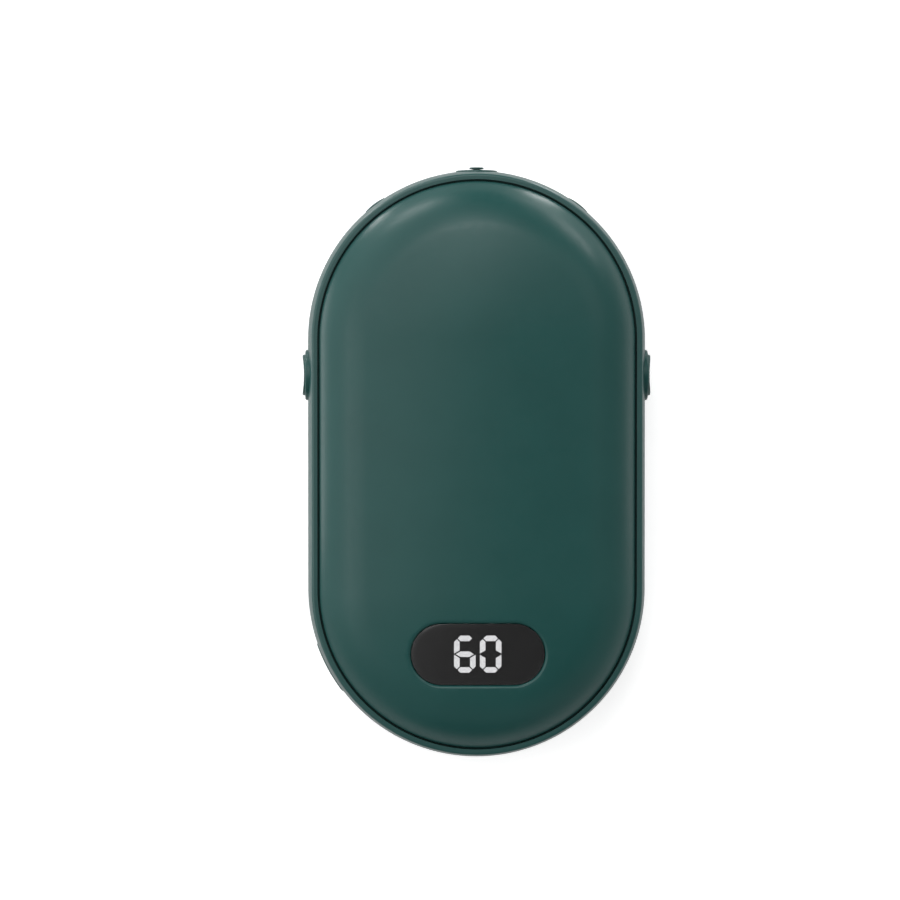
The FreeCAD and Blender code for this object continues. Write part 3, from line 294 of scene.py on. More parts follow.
def settle(piece, crease=CREASE):
    """Turns what the modifiers show into the piece's own mesh, smooth between its creases."""
    graph = bpy.context.evaluated_depsgraph_get()
    shown = bpy.data.meshes.new_from_object(piece.evaluated_get(graph), depsgraph=graph)
    piece.modifiers.clear()
    old, piece.data = piece.data, shown
    bpy.data.meshes.remove(old)
    mesh = bmesh.new()
    mesh.from_mesh(shown)
    bmesh.ops.remove_doubles(mesh, verts=mesh.verts, dist=WELD)
    bmesh.ops.recalc_face_normals(mesh, faces=mesh.faces)
    mesh.to_mesh(shown)
    mesh.free()
    shown.name = piece.name
    shown.shade_smooth()
    shown.set_sharp_from_angle(angle=math.radians(crease))
    return piece


def carve(piece, *meshes):
    """Cuts closed meshes out of a piece."""
    tools = [new_piece("cutter", mesh) for mesh in meshes]
    for tool in tools:
        cut = piece.modifiers.new("cut", "BOOLEAN")
        cut.operation, cut.solver, cut.object = "DIFFERENCE", "EXACT", tool
    settle(piece)
    for tool in tools:
        bpy.data.meshes.remove(tool.data)
    return piece


def node_adder(tree):
    """A short way to add a node to a tree: its kind, then each socket with its link or its value."""

    def add(kind, *links, **settings):
        node = tree.nodes.new(kind)
        for name, value in settings.items():
            setattr(node, name, value)
        for socket, source in links:
            if isinstance(source, bpy.types.NodeSocket):
                tree.links.new(source, node.inputs[socket])
            else:
                node.inputs[socket].default_value = source
        return node

    return add


# The covers and the band: one section taken along both sides and round both ends


def case_sweep_tree():
    """Nodes that carry a section, given as points, round the case."""
    tree = bpy.data.node_groups.new("section_round_the_case", "GeometryNodeTree")
    for name, kind in (
        ("Section", "NodeSocketGeometry"),
        ("Half Straight", "NodeSocketFloat"),
        ("End Steps", "NodeSocketInt"),
        ("Columns", "NodeSocketInt"),
        ("Finish", "NodeSocketMaterial"),
    ):
        tree.interface.new_socket(name, in_out="INPUT", socket_type=kind)
    tree.interface.new_socket("Case", in_out="OUTPUT", socket_type="NodeSocketGeometry")
    given = tree.nodes.new("NodeGroupInput").outputs
    add = node_adder(tree)

    def calc(operation, *sources):
        return add("ShaderNodeMath", *enumerate(sources), operation=operation).outputs[0]

    # A grid with a row for each station round the case and a column for each point of the section
    columns = given["Columns"]
    per_end = calc("ADD", given["End Steps"], 1)
    stations = calc("MULTIPLY_ADD", per_end, 2, 1)
    grid = add("GeometryNodeMeshGrid", ("Vertices X", stations), ("Vertices Y", columns))
    count = add("GeometryNodeAttributeDomainSize", ("Geometry", given["Section"]))
    index = add("GeometryNodeInputIndex").outputs[0]
    station = calc("FLOOR", calc("DIVIDE", index, columns))
    column = calc("SUBTRACT", index, calc("MULTIPLY", station, columns))
    point = add(
        "GeometryNodeSampleIndex",
        ("Geometry", given["Section"]),
        ("Value", add("GeometryNodeInputPosition").outputs[0]),
        ("Index", calc("MODULO", column, count.outputs["Point Count"])),
        data_type="FLOAT_VECTOR",
    )
    spot = add("ShaderNodeSeparateXYZ", (0, point.outputs[0])).outputs

    # Each station turns about the middle of its own end
    end = calc("FLOOR", calc("DIVIDE", station, per_end))
    steps_done = calc("SUBTRACT", station, end)
    angle = calc("MULTIPLY", calc("DIVIDE", steps_done, given["End Steps"]), math.pi)
    side = calc("COSINE", calc("MULTIPLY", end, math.pi))
    centre = calc("MULTIPLY", given["Half Straight"], side)
    across = calc("MULTIPLY", spot["X"], calc("COSINE", angle))
    along = calc("MULTIPLY_ADD", spot["X"], calc("SINE", angle), centre)
    placed = add("ShaderNodeCombineXYZ", (0, across), (1, along), (2, spot["Z"]))
    shape = grid.outputs["Mesh"]
    for kind, *links in (
        ("GeometryNodeSetPosition", ("Position", placed.outputs[0])),
        ("GeometryNodeMergeByDistance", ("Distance", 2 * WELD)),
        ("GeometryNodeRealizeInstances",),
        ("GeometryNodeSetMaterial", ("Material", given["Finish"])),
    ):
        shape = add(kind, ("Geometry", shape), *links).outputs[0]
    tree.links.new(shape, tree.nodes.new("NodeGroupOutput").inputs[0])
    return tree


CASE_SWEEP = case_sweep_tree()


def swept(name, points, closed, finish):
    """A piece whose section runs round the case. An open section ends on the middle line."""
    data = bpy.data.meshes.new(name)
    data.from_pydata([(point.x, 0, point.y) for point in points], [], [])
    piece = bpy.data.objects.new(name, data)
    bpy.context.scene.collection.objects.link(piece)
    sweep = piece.modifiers.new("round_the_case", "NODES")
    sweep.node_group = CASE_SWEEP
    keys = {item.name: item.identifier for item in CASE_SWEEP.interface.items_tree}
    sweep[keys["Half Straight"]] = END_Y
    sweep[keys["End Steps"]] = END_STEPS
    sweep[keys["Columns"]] = len(points) + 1 if closed else len(points)
    sweep[keys["Finish"]] = finish
    return settle(piece)


# Centres and radii of the arcs in the front cover's section

corner_x = COVER_HALF - RIM_ROUND
crown_reach = COVER_HALF - CROWN_INSET
crown_sin = crown_reach / CROWN_RADIUS
crown_cos = math.sqrt(1 - crown_sin**2)
edge_width = corner_x - crown_reach + RIM_ROUND * math.sin(EDGE_TILT)
edge_radius = edge_width / (math.sin(EDGE_TILT) - crown_sin)
edge_x = crown_reach - edge_radius * crown_sin
crown_z = FRONT_TOP - CROWN_RADIUS
edge_z = crown_z + (CROWN_RADIUS - edge_radius) * crown_cos


def dome(x, y):
    """Height of the front crown."""
    past = max(abs(y) - END_Y, 0)
    return crown_z + math.sqrt(CROWN_RADIUS**2 - x * x - past * past)


def front_section():
    """From the middle of the inside round the skirt to the middle of the dome."""
    inner = CROWN_RADIUS - WALL
    skirt_top = edge_z + math.sqrt((edge_radius - WALL) ** 2 - (SKIRT_INNER - edge_x) ** 2)
    front_rim = FRONT_SHELF + SEAL
    return section(
        (0, FRONT_TOP - WALL),
        (crown_sin * inner, crown_z + crown_cos * inner, 0, crown_z, -1),
        (SKIRT_INNER, skirt_top, edge_x, edge_z, -1),
        (SKIRT_INNER, FRONT_SKIRT),
        (SKIRT_OUTER, FRONT_SKIRT),
        (SKIRT_OUTER + BEAD, FRONT_SKIRT + BEAD_HALF),
        (SKIRT_OUTER, FRONT_SKIRT + 2 * BEAD_HALF),
        (SKIRT_OUTER, front_rim),
        (COVER_HALF, front_rim),
        (COVER_HALF, BAND_TOP),
        (
            edge_x + edge_radius * math.sin(EDGE_TILT),
            edge_z + edge_radius * math.cos(EDGE_TILT),
            corner_x,
            BAND_TOP,
            1,
        ),
        (crown_reach, crown_z + CROWN_RADIUS * crown_cos, edge_x, edge_z, 1),
        (0, FRONT_TOP, 0, crown_z, 1),
    )


def rear_section():
    """From the middle of the rest flat round the skirt to the middle of the inside."""
    rest_half = COVER_HALF - REST_INSET
    reach = COVER_HALF - SHOULDER_INSET
    shoulder_sin = (reach - rest_half) / SHOULDER_RADIUS
    shoulder_cos = math.sqrt(1 - shoulder_sin**2)
    width = corner_x - reach + RIM_ROUND * math.sin(REAR_TILT)
    radius = width / (math.sin(REAR_TILT) - shoulder_sin)
    x = reach - radius * shoulder_sin
    z = SHOULDER_RADIUS - (SHOULDER_RADIUS - radius) * shoulder_cos
    inner = SHOULDER_RADIUS - WALL
    rear_rim = REAR_SHELF - SEAL
    return section(
        (0, 0),
        (rest_half, 0),
        (reach, SHOULDER_RADIUS * (1 - shoulder_cos), rest_half, SHOULDER_RADIUS, 1),
        (x + radius * math.sin(REAR_TILT), z - radius * math.cos(REAR_TILT), x, z, 1),
        (COVER_HALF, BAND_BASE, corner_x, BAND_BASE, 1),
        (COVER_HALF, rear_rim),
        (SKIRT_OUTER, rear_rim),
        (SKIRT_OUTER, REAR_SKIRT - 2 * BEAD_HALF),
        (SKIRT_OUTER + BEAD, REAR_SKIRT - BEAD_HALF),
        (SKIRT_OUTER, REAR_SKIRT),
        (SKIRT_INNER, REAR_SKIRT),
        (SKIRT_INNER, z - math.sqrt((radius - WALL) ** 2 - (SKIRT_INNER - x) ** 2)),
        (rest_half + inner * shoulder_sin, SHOULDER_RADIUS - inner * shoulder_cos, x, z, -1),
        (rest_half, WALL, rest_half, SHOULDER_RADIUS, -1),
        (0, WALL),
    )


# The arc of the band's swelling side

half_depth = (BAND_TOP - BAND_BASE) / 2
side_radius = (BULGE**2 + half_depth**2) / (2 * BULGE)
side_x = END_RADIUS - side_radius


def bulge(height, proud=0.0):
    """Half width of the band's swelling side at a height, or of a surface proud of it."""
    return side_x + math.sqrt((side_radius + proud) ** 2 - (height - MID) ** 2)


def band_section():
    """From the rear lip round the outside, and back along the shelves, bead grooves and ledge."""
    lip_x = side_x + math.sqrt((side_radius - LIP_ROUND) ** 2 - (half_depth - LIP_ROUND) ** 2)
    scale = side_radius / (side_radius - LIP_ROUND)
    turn_x = side_x + scale * (lip_x - side_x)
    turn_z = scale * (half_depth - LIP_ROUND)
    groove = SKIRT_OUTER + BEAD + GROOVE
    return section(
        (LIP_HALF, BAND_BASE),
        (lip_x, BAND_BASE),
        (turn_x, MID - turn_z, lip_x, BAND_BASE + LIP_ROUND, 1),
        (turn_x, MID + turn_z, side_x, MID, 1),
        (lip_x, BAND_TOP, lip_x, BAND_TOP - LIP_ROUND, 1),
        (LIP_HALF, BAND_TOP),
        (LIP_HALF, FRONT_SHELF),
        (BAND_INNER, FRONT_SHELF),
        (BAND_INNER, FRONT_SKIRT + 2 * BEAD_HALF + GROOVE),
        (groove, FRONT_SKIRT + BEAD_HALF),
        (BAND_INNER, FRONT_SKIRT - GROOVE),
        (BAND_INNER, LEDGE_TOP),
        (BAND_INNER - LEDGE, LEDGE_TOP),
        (BAND_INNER - LEDGE, LEDGE_TOP - LEDGE_HEIGHT),
        (BAND_INNER, LEDGE_TOP - LEDGE_HEIGHT),
        (BAND_INNER, REAR_SKIRT + GROOVE),
        (groove, REAR_SKIRT - BEAD_HALF),
        (BAND_INNER, REAR_SKIRT - 2 * BEAD_HALF - GROOVE),
        (BAND_INNER, REAR_SHELF),
        (LIP_HALF, REAR_SHELF),
    )


def window_loop(spread, height=None, depth=0.0):
    """Points round the window, at one height or at a depth below the dome."""
    points = [Vector((p.x, p.y + WINDOW_Y)) for p in oblong(WINDOW, spread)]
    return [Vector((p.x, p.y, dome(p.x, p.y) - depth if height is None else height)) for p in points]


def window_cut():
    """What the window takes out of the dome: the lens pocket, the wall and a rounded upper edge."""
    pocket = LENS_FLANGE + FLANGE_ROOM
    tilts = range(0, 76, 15)
    loops = [window_loop(pocket, LENS_Z - WALL), window_loop(pocket, SEAT_Z), window_loop(0, SEAT_Z)]
    edge = rounding(0, 0, WINDOW_ROUND, 1, tilts)
    loops += [window_loop(spread, depth=-out) for out, spread in edge]
    last = math.radians(tilts[-1])  # the edge runs on at this slope, out of the dome
    rise = edge[-1][0] + WINDOW_ROUND * math.cos(last) / math.tan(last)
    loops += [window_loop(WINDOW_ROUND, depth=-rise), window_loop(WINDOW_ROUND, FRONT_TOP + PAST)]
    return skin(loops)


def button_bay(low, high, half_width=LIP_HALF):
    """Room for the two buttons behind the band's wall."""
    return block(
        (-half_width, BUTTON_Y - BUTTON_BAY / 2, low),
        (half_width, BUTTON_Y + BUTTON_BAY / 2, high),
    )


def hole(place, *steps):
    """A stepped round hole from the rim inwards. A step is its radius and how far out it ends."""
    outer = END_RADIUS + PAST
    profile = [(outer, 0)]
    for radius, floor in steps:
        profile += [(outer, radius), (floor, radius)]
        outer = floor
    profile.append((outer, 0))
    return turned(profile, place)


def port_loop(spread, proud=None, along=0.0):
    """Points round the charging port, on a surface proud of the band or flat at a distance out."""
    loop = []
    for point in oblong(SOCKET, spread):
        out = along
        if proud is not None:
            out = math.sqrt(bulge(SOCKET_Z + point.y, proud) ** 2 - point.x**2)
        loop.append(Vector((out, point.x, point.y)))
    return loop


def port_slot():
    """What the charging port takes out of the band."""
    ends = (BAND_INNER - PAST, END_RADIUS + PAST)
    mesh = skin([port_loop(PORT_ROOM, along=end) for end in ends])
    mesh.transform(outward(PORT))
    return mesh


def port_lip():
    """Low rounded lip round the charging port."""
    loops = [port_loop(PORT_LIP, -PORT_SINK), port_loop(PORT_LIP, PORT_PROUD - PORT_EDGE)]
    edges = rounding(PORT_PROUD, PORT_LIP, PORT_EDGE, -1, (30, 60, 90))
    edges += rounding(PORT_PROUD, PORT_ROOM, PORT_EDGE, 1, (90, 60, 30, 0))
    loops += [port_loop(spread, out) for out, spread in edges]
    loops.append(port_loop(PORT_ROOM, -PORT_SINK))
    mesh = skin(loops, ring=True)
    mesh.transform(outward(PORT))
    return mesh


# Smaller pieces


def lens_pane():
    """The pane: flange below, a wall with a softened edge and a face that follows the dome."""
    loops = [
        window_loop(LENS_FLANGE, LENS_Z),
        window_loop(LENS_FLANGE, GASKET_Z),
        window_loop(-LENS_GAP, GASKET_Z),
    ]
    edge = rounding(-LENS_INSET, -LENS_GAP, LENS_EDGE, -1, (0, 30, 60, 90))
    loops += [window_loop(spread, depth=-out) for out, spread in edge]
    inset = LENS_GAP + LENS_EDGE
    face = WINDOW[1] / 2 - inset
    loops += [window_loop(-inset - share * face, depth=LENS_INSET) for share in PANE_RINGS]
    return skin(loops)


def button_cap(place):
    """Push button with a flange behind the wall and a face dished across its width."""
    edge = [(BUTTON_TIP - BUTTON_EDGE, BUTTON_RADIUS)]
    edge += rounding(BUTTON_TIP, BUTTON_RADIUS, BUTTON_EDGE, -1)
    face_radius = BUTTON_RADIUS - BUTTON_EDGE
    rings = range(BUTTON_RINGS, -1, -1)
    face = [(BUTTON_TIP, face_radius * ring / BUTTON_RINGS) for ring in rings]
    profile = [
        (BUTTON_BACK, 0),
        (BUTTON_BACK, STEM_RADIUS),
        (FLANGE_FACE - FLANGE_DEPTH, STEM_RADIUS),
        (FLANGE_FACE - FLANGE_DEPTH, BUTTON_FLANGE),
        (FLANGE_FACE, BUTTON_FLANGE),
        (FLANGE_FACE, BUTTON_RADIUS),
        *edge,
        *face,
    ]
    mesh = turned(profile, (0, 0, 0))
    dish_radius = (BUTTON_RADIUS**2 + BUTTON_DISH**2) / (2 * BUTTON_DISH)
    for vert in mesh.verts:
        if abs(vert.co.y) < BUTTON_RADIUS:
            rise = dish_radius - math.sqrt(dish_radius**2 - vert.co.y**2)
            vert.co.x = min(vert.co.x, BUTTON_TIP - BUTTON_DISH + rise)
    mesh.transform(outward(place))
    return mesh


def button_ring(place):
    """Raised ring round a button, soft at both edges."""
    return turned(
        [
            (RING_FLOOR, RING_BORE),
            (RING_TIP - RING_EDGE, RING_BORE),
            *rounding(RING_TIP, RING_BORE, RING_EDGE, 1),
            (RING_TIP, RING_BORE + RING_EDGE),
            (RING_TIP, RING_RADIUS - RING_EDGE),
            *reversed(rounding(RING_TIP, RING_RADIUS, RING_EDGE, -1)),
            (RING_TIP - RING_EDGE, RING_RADIUS),
            (RING_FLOOR, RING_RADIUS),
        ],
        place,
        ring=True,
    )


def lanyard_stud():
    """Spool with a wide flange, a narrow neck for a loop and a small head."""
    return turned(
        [
            (STUD_BACK, 0),
            (STUD_BACK, STUD_SHANK),
            (STUD_SEAT, STUD_SHANK),
            (STUD_SEAT, STUD_FLANGE),
            (STUD_FACE - STUD_EDGE, STUD_FLANGE),
            *rounding(STUD_FACE, STUD_FLANGE, STUD_EDGE, -1),
            (STUD_FACE, STUD_FLANGE - STUD_EDGE),
            (STUD_NECK_AT, STUD_NECK),
            (STUD_TIP - 2 * STUD_HEAD_EDGE, STUD_HEAD),
            (STUD_TIP - STUD_HEAD_EDGE, STUD_HEAD),
            *rounding(STUD_TIP, STUD_HEAD, STUD_HEAD_EDGE, -1),
            (STUD_TIP, STUD_HEAD - STUD_HEAD_EDGE),
            (STUD_TIP, 0),
        ],
        TOP,
    )


def screw_plug(place):
    """Low domed cap over a frame screw."""
    swell = (PLUG_RADIUS**2 + PLUG_DOME**2) / (2 * PLUG_DOME)
    profile = [(PLUG_FLOOR, 0), (PLUG_FLOOR, PLUG_RADIUS)]
    for share in PLUG_RINGS:
        radius = PLUG_RADIUS * share
        rise = math.sqrt(swell**2 - radius**2) - swell + PLUG_DOME
        profile.append((END_RADIUS + PLUG_PROUD + rise, radius))
    return turned(profile, place)


# Finishes


class Finish:
    """A node material on the piece's own coordinates."""

    def __init__(self, name, **sockets):
        self.material = bpy.data.materials.new(name)
        self.material.use_nodes = True
        self.tree = self.material.node_tree
        self.shader = self.tree.nodes["Principled BSDF"]
        for socket, value in sockets.items():
            self.shader.inputs[socket.replace("_", " ")].default_value = value
        self.add = node_adder(self.tree)
        self.coordinates = self.add("ShaderNodeTexCoord").outputs["Object"]

    def where(self, size, stretch=(1, 1, 1)):
        """Coordinates that count in units of size, in mm, longer along the stretched axes."""
        scale = [1 / (size * MM * part) for part in stretch]
        mapping = self.add("ShaderNodeMapping", ("Vector", self.coordinates), ("Scale", scale))
        return mapping.outputs[0]

    def noise(self, size, detail=2.0, stretch=(1, 1, 1)):
        where = self.where(size, stretch)
        noise = self.add("ShaderNodeTexNoise", ("Vector", where), ("Scale", 1.0), ("Detail", detail))
        return noise.outputs["Fac"]

    def cells(self, size, feature="F1"):
        where = self.where(size)
        cells = self.add("ShaderNodeTexVoronoi", ("Vector", where), ("Scale", 1.0), feature=feature)
        return cells.outputs["Distance"]

    def bands(self, size, direction, bend):
        bands = self.add(
            "ShaderNodeTexWave",
            ("Vector", self.where(size)),
            ("Scale", 0.5),
            ("Distortion", bend),
            bands_direction=direction,
        )
        return bands.outputs["Fac"]

    def ramp(self, factor, low, high, first, last):
        """Maps a factor between low and high onto two numbers or two colours."""
        if isinstance(first, tuple):
            ramp = self.add("ShaderNodeValToRGB", ("Fac", factor))
            start, end = ramp.color_ramp.elements
            start.position, end.position = low, high
            start.color, end.color = (*first, 1), (*last, 1)
            return ramp.outputs["Color"]
        ends = (("From Min", low), ("From Max", high), ("To Min", first), ("To Max", last))
        return self.add("ShaderNodeMapRange", ("Value", factor), *ends).outputs["Result"]

    def feed(self, socket, source):
        self.tree.links.new(source, self.shader.inputs[socket])
        return self

    def colour(self, factor, first, last, low=0.3, high=0.7):
        return self.feed("Base Color", self.ramp(factor, low, high, first, last))

    def roughness(self, factor, first, last, low=0.3, high=0.7):
        return self.feed("Roughness", self.ramp(factor, low, high, first, last))

    def relief(self, *layers):
        """Bumps, each a factor and how high it stands in mm."""
        under = []
        for factor, height in layers:
            bump = self.add("ShaderNodeBump", ("Height", factor), ("Distance", height * MM), *under)
            under = [("Normal", bump.outputs["Normal"])]
        return self.feed("Normal", bump.outputs["Normal"])


def enamel(name, dark, light, low, high, index=1.4):
    """Satin enamel: a little drift in its depth, fine flake and a soft sprayed skin."""
    paint = Finish(name, IOR=index)
    paint.colour(paint.noise(9, 4), dark, light)
    paint.roughness(paint.noise(1.1, 3), low, high)
    return paint.relief((paint.noise(0.9), 0.0022), (paint.noise(0.16), 0.0007)).material


def rubber(name, dark, light):
    """Matt rubber with a powdery bloom."""
    band = Finish(name, Specular_IOR_Level=0.2)
    band.colour(band.noise(1.5, 3), dark, light)
    band.roughness(band.noise(0.5), 0.6, 0.75)
    return band.relief((band.noise(0.12), 0.004)).material


def smoked_lens(name):
    """Smoked clear plastic, with shade painted black where it turns down at its edge."""
    pane = Finish(name, IOR=1.45, Transmission_Weight=0.95)
    normal = pane.add("ShaderNodeNewGeometry").outputs["Normal"]
    upright = pane.add("ShaderNodeSeparateXYZ", (0, normal)).outputs["Z"]
    level = pane.add("ShaderNodeMath", (0, upright), operation="ABSOLUTE").outputs[0]
    smoke = pane.ramp(pane.noise(6), 0.3, 0.7, (0.2, 0.2, 0.202), (0.215, 0.215, 0.217))
    face = pane.ramp(level, 0.9, 0.96, 0.0, 1.0)  # 1 on the face, 0 on the wall round it, where shade is painted
    # painted shade: the pane's edge wall is black, in place of the digits' light that it would show
    # there
    painted_shade = (0, 0, 0, 1)
    smoke_and_painted_shade = pane.add("ShaderNodeMix", ("Factor", face), ("A", painted_shade), ("B", smoke), data_type="RGBA")
    pane.feed("Base Color", smoke_and_painted_shade.outputs["Result"])
    return pane.roughness(pane.noise(0.8), 0.03, 0.05).material


def lit_bars(name):
    """Frosted bars lit from below, with the fine grain of their diffuser."""
    bars = Finish(name, Roughness=0.5, Emission_Strength=4.1)
    grain = bars.ramp(bars.noise(0.32, 1), 0.35, 0.65, (0.8, 0.8, 0.82), (1.0, 1.0, 1.0))
    bars.feed("Emission Color", grain)
    return bars.colour(bars.noise(0.3), (0.7, 0.7, 0.7), (0.8, 0.8, 0.8)).material


def moulded(name, dark, light, low, high, grain):
    """Moulded plastic or board stock: a little mottle and a spark-eroded grain."""
    stock = Finish(name)
    stock.colour(stock.noise(2.4, 3), dark, light)
    stock.roughness(stock.noise(0.7), low, high)
    return stock.relief((stock.noise(0.14), grain)).material


def metal(name, dark, light, low, high, stretch):
    """Metal with a drawn grain along one axis."""
    drawn = Finish(name, Metallic=1.0)
    drawn.colour(drawn.noise(0.6, 3, stretch), dark, light)
    drawn.roughness(drawn.noise(0.25, 2, stretch), low, high)
    return drawn.relief((drawn.noise(0.12, 2, stretch), 0.0002)).material


def board(name):
    """Solder mask over copper runs."""
    mask = Finish(name, IOR=1.5)
    runs = mask.bands(1.3, "DIAGONAL", 3.0)
    mask.colour(runs, (0.004, 0.05, 0.018), (0.009, 0.09, 0.032), 0.45, 0.55)
    mask.roughness(mask.noise(0.6), 0.28, 0.4)
    return mask.relief((runs, 0.02)).material


def foil(name):
    """Laminated pouch with shallow creases."""
    pouch = Finish(name, Metallic=0.85)
    pouch.colour(pouch.noise(7, 4), (0.42, 0.43, 0.45), (0.58, 0.59, 0.6))
    pouch.roughness(pouch.noise(2.2, 3), 0.3, 0.46)
    creases = pouch.cells(5.0, "SMOOTH_F1")
    return pouch.relief((creases, 0.05), (pouch.noise(0.5), 0.004)).material


def heater(name):
    """Amber film with a winding track showing through."""
    film = Finish(name, IOR=1.6)
    track = film.bands(1.6, "Y", 1.5)
    film.colour(track, (0.22, 0.07, 0.012), (0.42, 0.19, 0.05), 0.46, 0.54)
    film.roughness(film.noise(0.9), 0.25, 0.38)
    return film.relief((track, 0.02)).material


def foam(name):
    """Open-celled pad: the pores are bumps, and their bottoms are painted darker as shade."""
    pad = Finish(name)
    pores_and_painted_shade = pad.cells(0.5)
    # painted shade: darker colour at the bottom of each pore, following its depth
    pad.colour(pores_and_painted_shade, (0.045, 0.047, 0.05), (0.12, 0.122, 0.126), 0.1, 0.8)
    pad.roughness(pad.noise(0.8), 0.85, 0.95)
    return pad.relief((pores_and_painted_shade, 0.12)).material


ALONG_X = (8, 1, 1)

# Each slot's maker, then the darker and the lighter colour, the lower and the higher roughness and
# the rest of what that maker takes
RECIPES = {
    "cover_paint": (enamel, (0.0058, 0.0560, 0.0510), (0.0070, 0.0610, 0.0555), 0.30, 0.36),
    "band_paint": (enamel, (0.0056, 0.0545, 0.0495), (0.0068, 0.0595, 0.0540), 0.30, 0.37, 1.5),
    "button_paint": (enamel, (0.0056, 0.0545, 0.0495), (0.0068, 0.0595, 0.0540), 0.27, 0.34),
    "black_rubber": (rubber, (0.006, 0.007, 0.007), (0.013, 0.014, 0.014)),
    "seal_rubber": (rubber, (0.002, 0.017, 0.015), (0.003, 0.025, 0.022)),
    "smoked_lens": (smoked_lens,),
    "lit_white": (lit_bars,),
    "unlit_grey": (moulded, (0.03, 0.03, 0.031), (0.04, 0.04, 0.041), 0.5, 0.6, 0.003),
    "black_plastic": (moulded, (0.007, 0.007, 0.008), (0.014, 0.014, 0.015), 0.5, 0.65, 0.004),
    "white_plastic": (moulded, (0.62, 0.61, 0.58), (0.72, 0.71, 0.68), 0.4, 0.5, 0.003),
    "lamp_yellow": (moulded, (0.6, 0.5, 0.16), (0.75, 0.66, 0.25), 0.3, 0.4, 0.002),
    "bright_steel": (metal, (0.5, 0.51, 0.52), (0.66, 0.67, 0.68), 0.2, 0.32, ALONG_X),
    "board_green": (board,),
    "chip_black": (moulded, (0.012, 0.012, 0.013), (0.022, 0.022, 0.023), 0.55, 0.7, 0.003),
    "ferrite_grey": (moulded, (0.05, 0.05, 0.052), (0.09, 0.09, 0.092), 0.6, 0.75, 0.008),
    "ceramic_tan": (moulded, (0.3, 0.19, 0.1), (0.4, 0.27, 0.16), 0.4, 0.55, 0.003),
    "gold_contacts": (metal, (0.75, 0.5, 0.17), (0.9, 0.65, 0.27), 0.16, 0.26, ALONG_X),
    "cell_foil": (foil,),
    "white_tape": (moulded, (0.58, 0.58, 0.56), (0.7, 0.7, 0.68), 0.55, 0.7, 0.01),
    "red_sleeve": (moulded, (0.36, 0.012, 0.01), (0.48, 0.022, 0.018), 0.35, 0.5, 0.004),
    "black_sleeve": (moulded, (0.008, 0.008, 0.009), (0.016, 0.016, 0.017), 0.35, 0.5, 0.004),
    "white_sleeve": (moulded, (0.6, 0.6, 0.58), (0.72, 0.72, 0.7), 0.35, 0.5, 0.004),
    "heater_film": (heater,),
    "grey_foam": (foam,),
}
FINISHES = {slot: make(slot, *values) for slot, (make, *values) in RECIPES.items()}


def dress(piece, body, slot, *nodes):
    """Gives a finished piece its body, finish and the nodes that it stands for."""
    piece.data.materials.clear()
    piece.data.materials.append(FINISHES[slot])
    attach(piece, body)
    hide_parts(*nodes)


# The pieces

front_shell = swept("front_shell", front_section(), False, FINISHES["cover_paint"])
carve(front_shell, window_cut(), button_bay(MID, FRONT_SHELF))
dress(front_shell, "case", "cover_paint", "front_cover")

rear_shell = swept("rear_shell", rear_section(), False, FINISHES["cover_paint"])
carve(rear_shell, button_bay(REAR_SHELF, MID))
dress(rear_shell, "case", "cover_paint", "rear_cover")

waist_band = swept("waist_band", band_section(), True, FINISHES["band_paint"])
carve(
    waist_band,
    button_bay(REAR_SHELF, FRONT_SHELF, BAND_INNER),
    port_slot(),
    hole(TOP, (STUD_FLANGE + PRESS_ROOM, STUD_SEAT), (STUD_SHANK + PRESS_ROOM, BAND_INNER - LEDGE)),
    *[
        hole(side, (RING_RADIUS + PRESS_ROOM, RING_FLOOR), (BUTTON_RADIUS + BUTTON_ROOM, BUTTON_BACK))
        for side in (RIGHT, LEFT)
    ],
    *[hole(place, (PLUG_RADIUS + PRESS_ROOM, PLUG_FLOOR)) for place in PLUGS],
)
lip = settle(new_piece("port_lip", port_lip()))
dress(waist_band, "case", "band_paint", "mid_frame")
dress(lip, "case", "band_paint")

pane = settle(new_piece("window_pane", lens_pane()))
dress(pane, "case", "smoked_lens", "display_lens")

for side, place in (("left", LEFT), ("right", RIGHT)):
    ring = settle(new_piece(f"{side}_push_ring", button_ring(place)))
    dress(ring, "case", "button_paint", f"{side}_button_ring")
    cap = settle(new_piece(f"{side}_push_cap", button_cap(place)))
    dress(cap, f"{side}_push", "button_paint", f"{side}_button")

stud = settle(new_piece("lanyard_spool", lanyard_stud()), STUD_CREASE)
dress(stud, "case", "band_paint", "lanyard_stud")
plugs = settle(new_piece("plug_caps", *[screw_plug(place) for place in PLUGS]))
dress(plugs, "case", "band_paint", "screw_plugs")

for entry in frame["record"]["subparts"]:
    materials = frame["nodes"][entry["node"]].data.materials
    materials.clear()
    materials.append(FINISHES[entry["material_slot"]])


# Camera, floor and light

CAMERA_HEIGHT = 0.62  # above the band's middle
FLOOR_HALF = 4.0
FLOOR_Z = -0.02 * MM  # just clear of the rest face
# How much of white the paper adds to what it reflects, for each kind of ray
FLOOR_GLOW = {"Is Camera Ray": 0.6, "Is Transmission Ray": 0.6, "Is Glossy Ray": 0.1}

scene = bpy.context.scene
camera = bpy.data.objects.new("camera", bpy.data.cameras.new("camera"))
scene.collection.objects.link(camera)
camera.data.sensor_width = 36.0
camera.data.lens = 139.15
camera.location = (-13.5 * MM, 16.5 * MM, MID + CAMERA_HEIGHT)
camera.rotation_euler = (math.radians(-1.296), math.radians(-0.812), 0)
scene.camera = camera


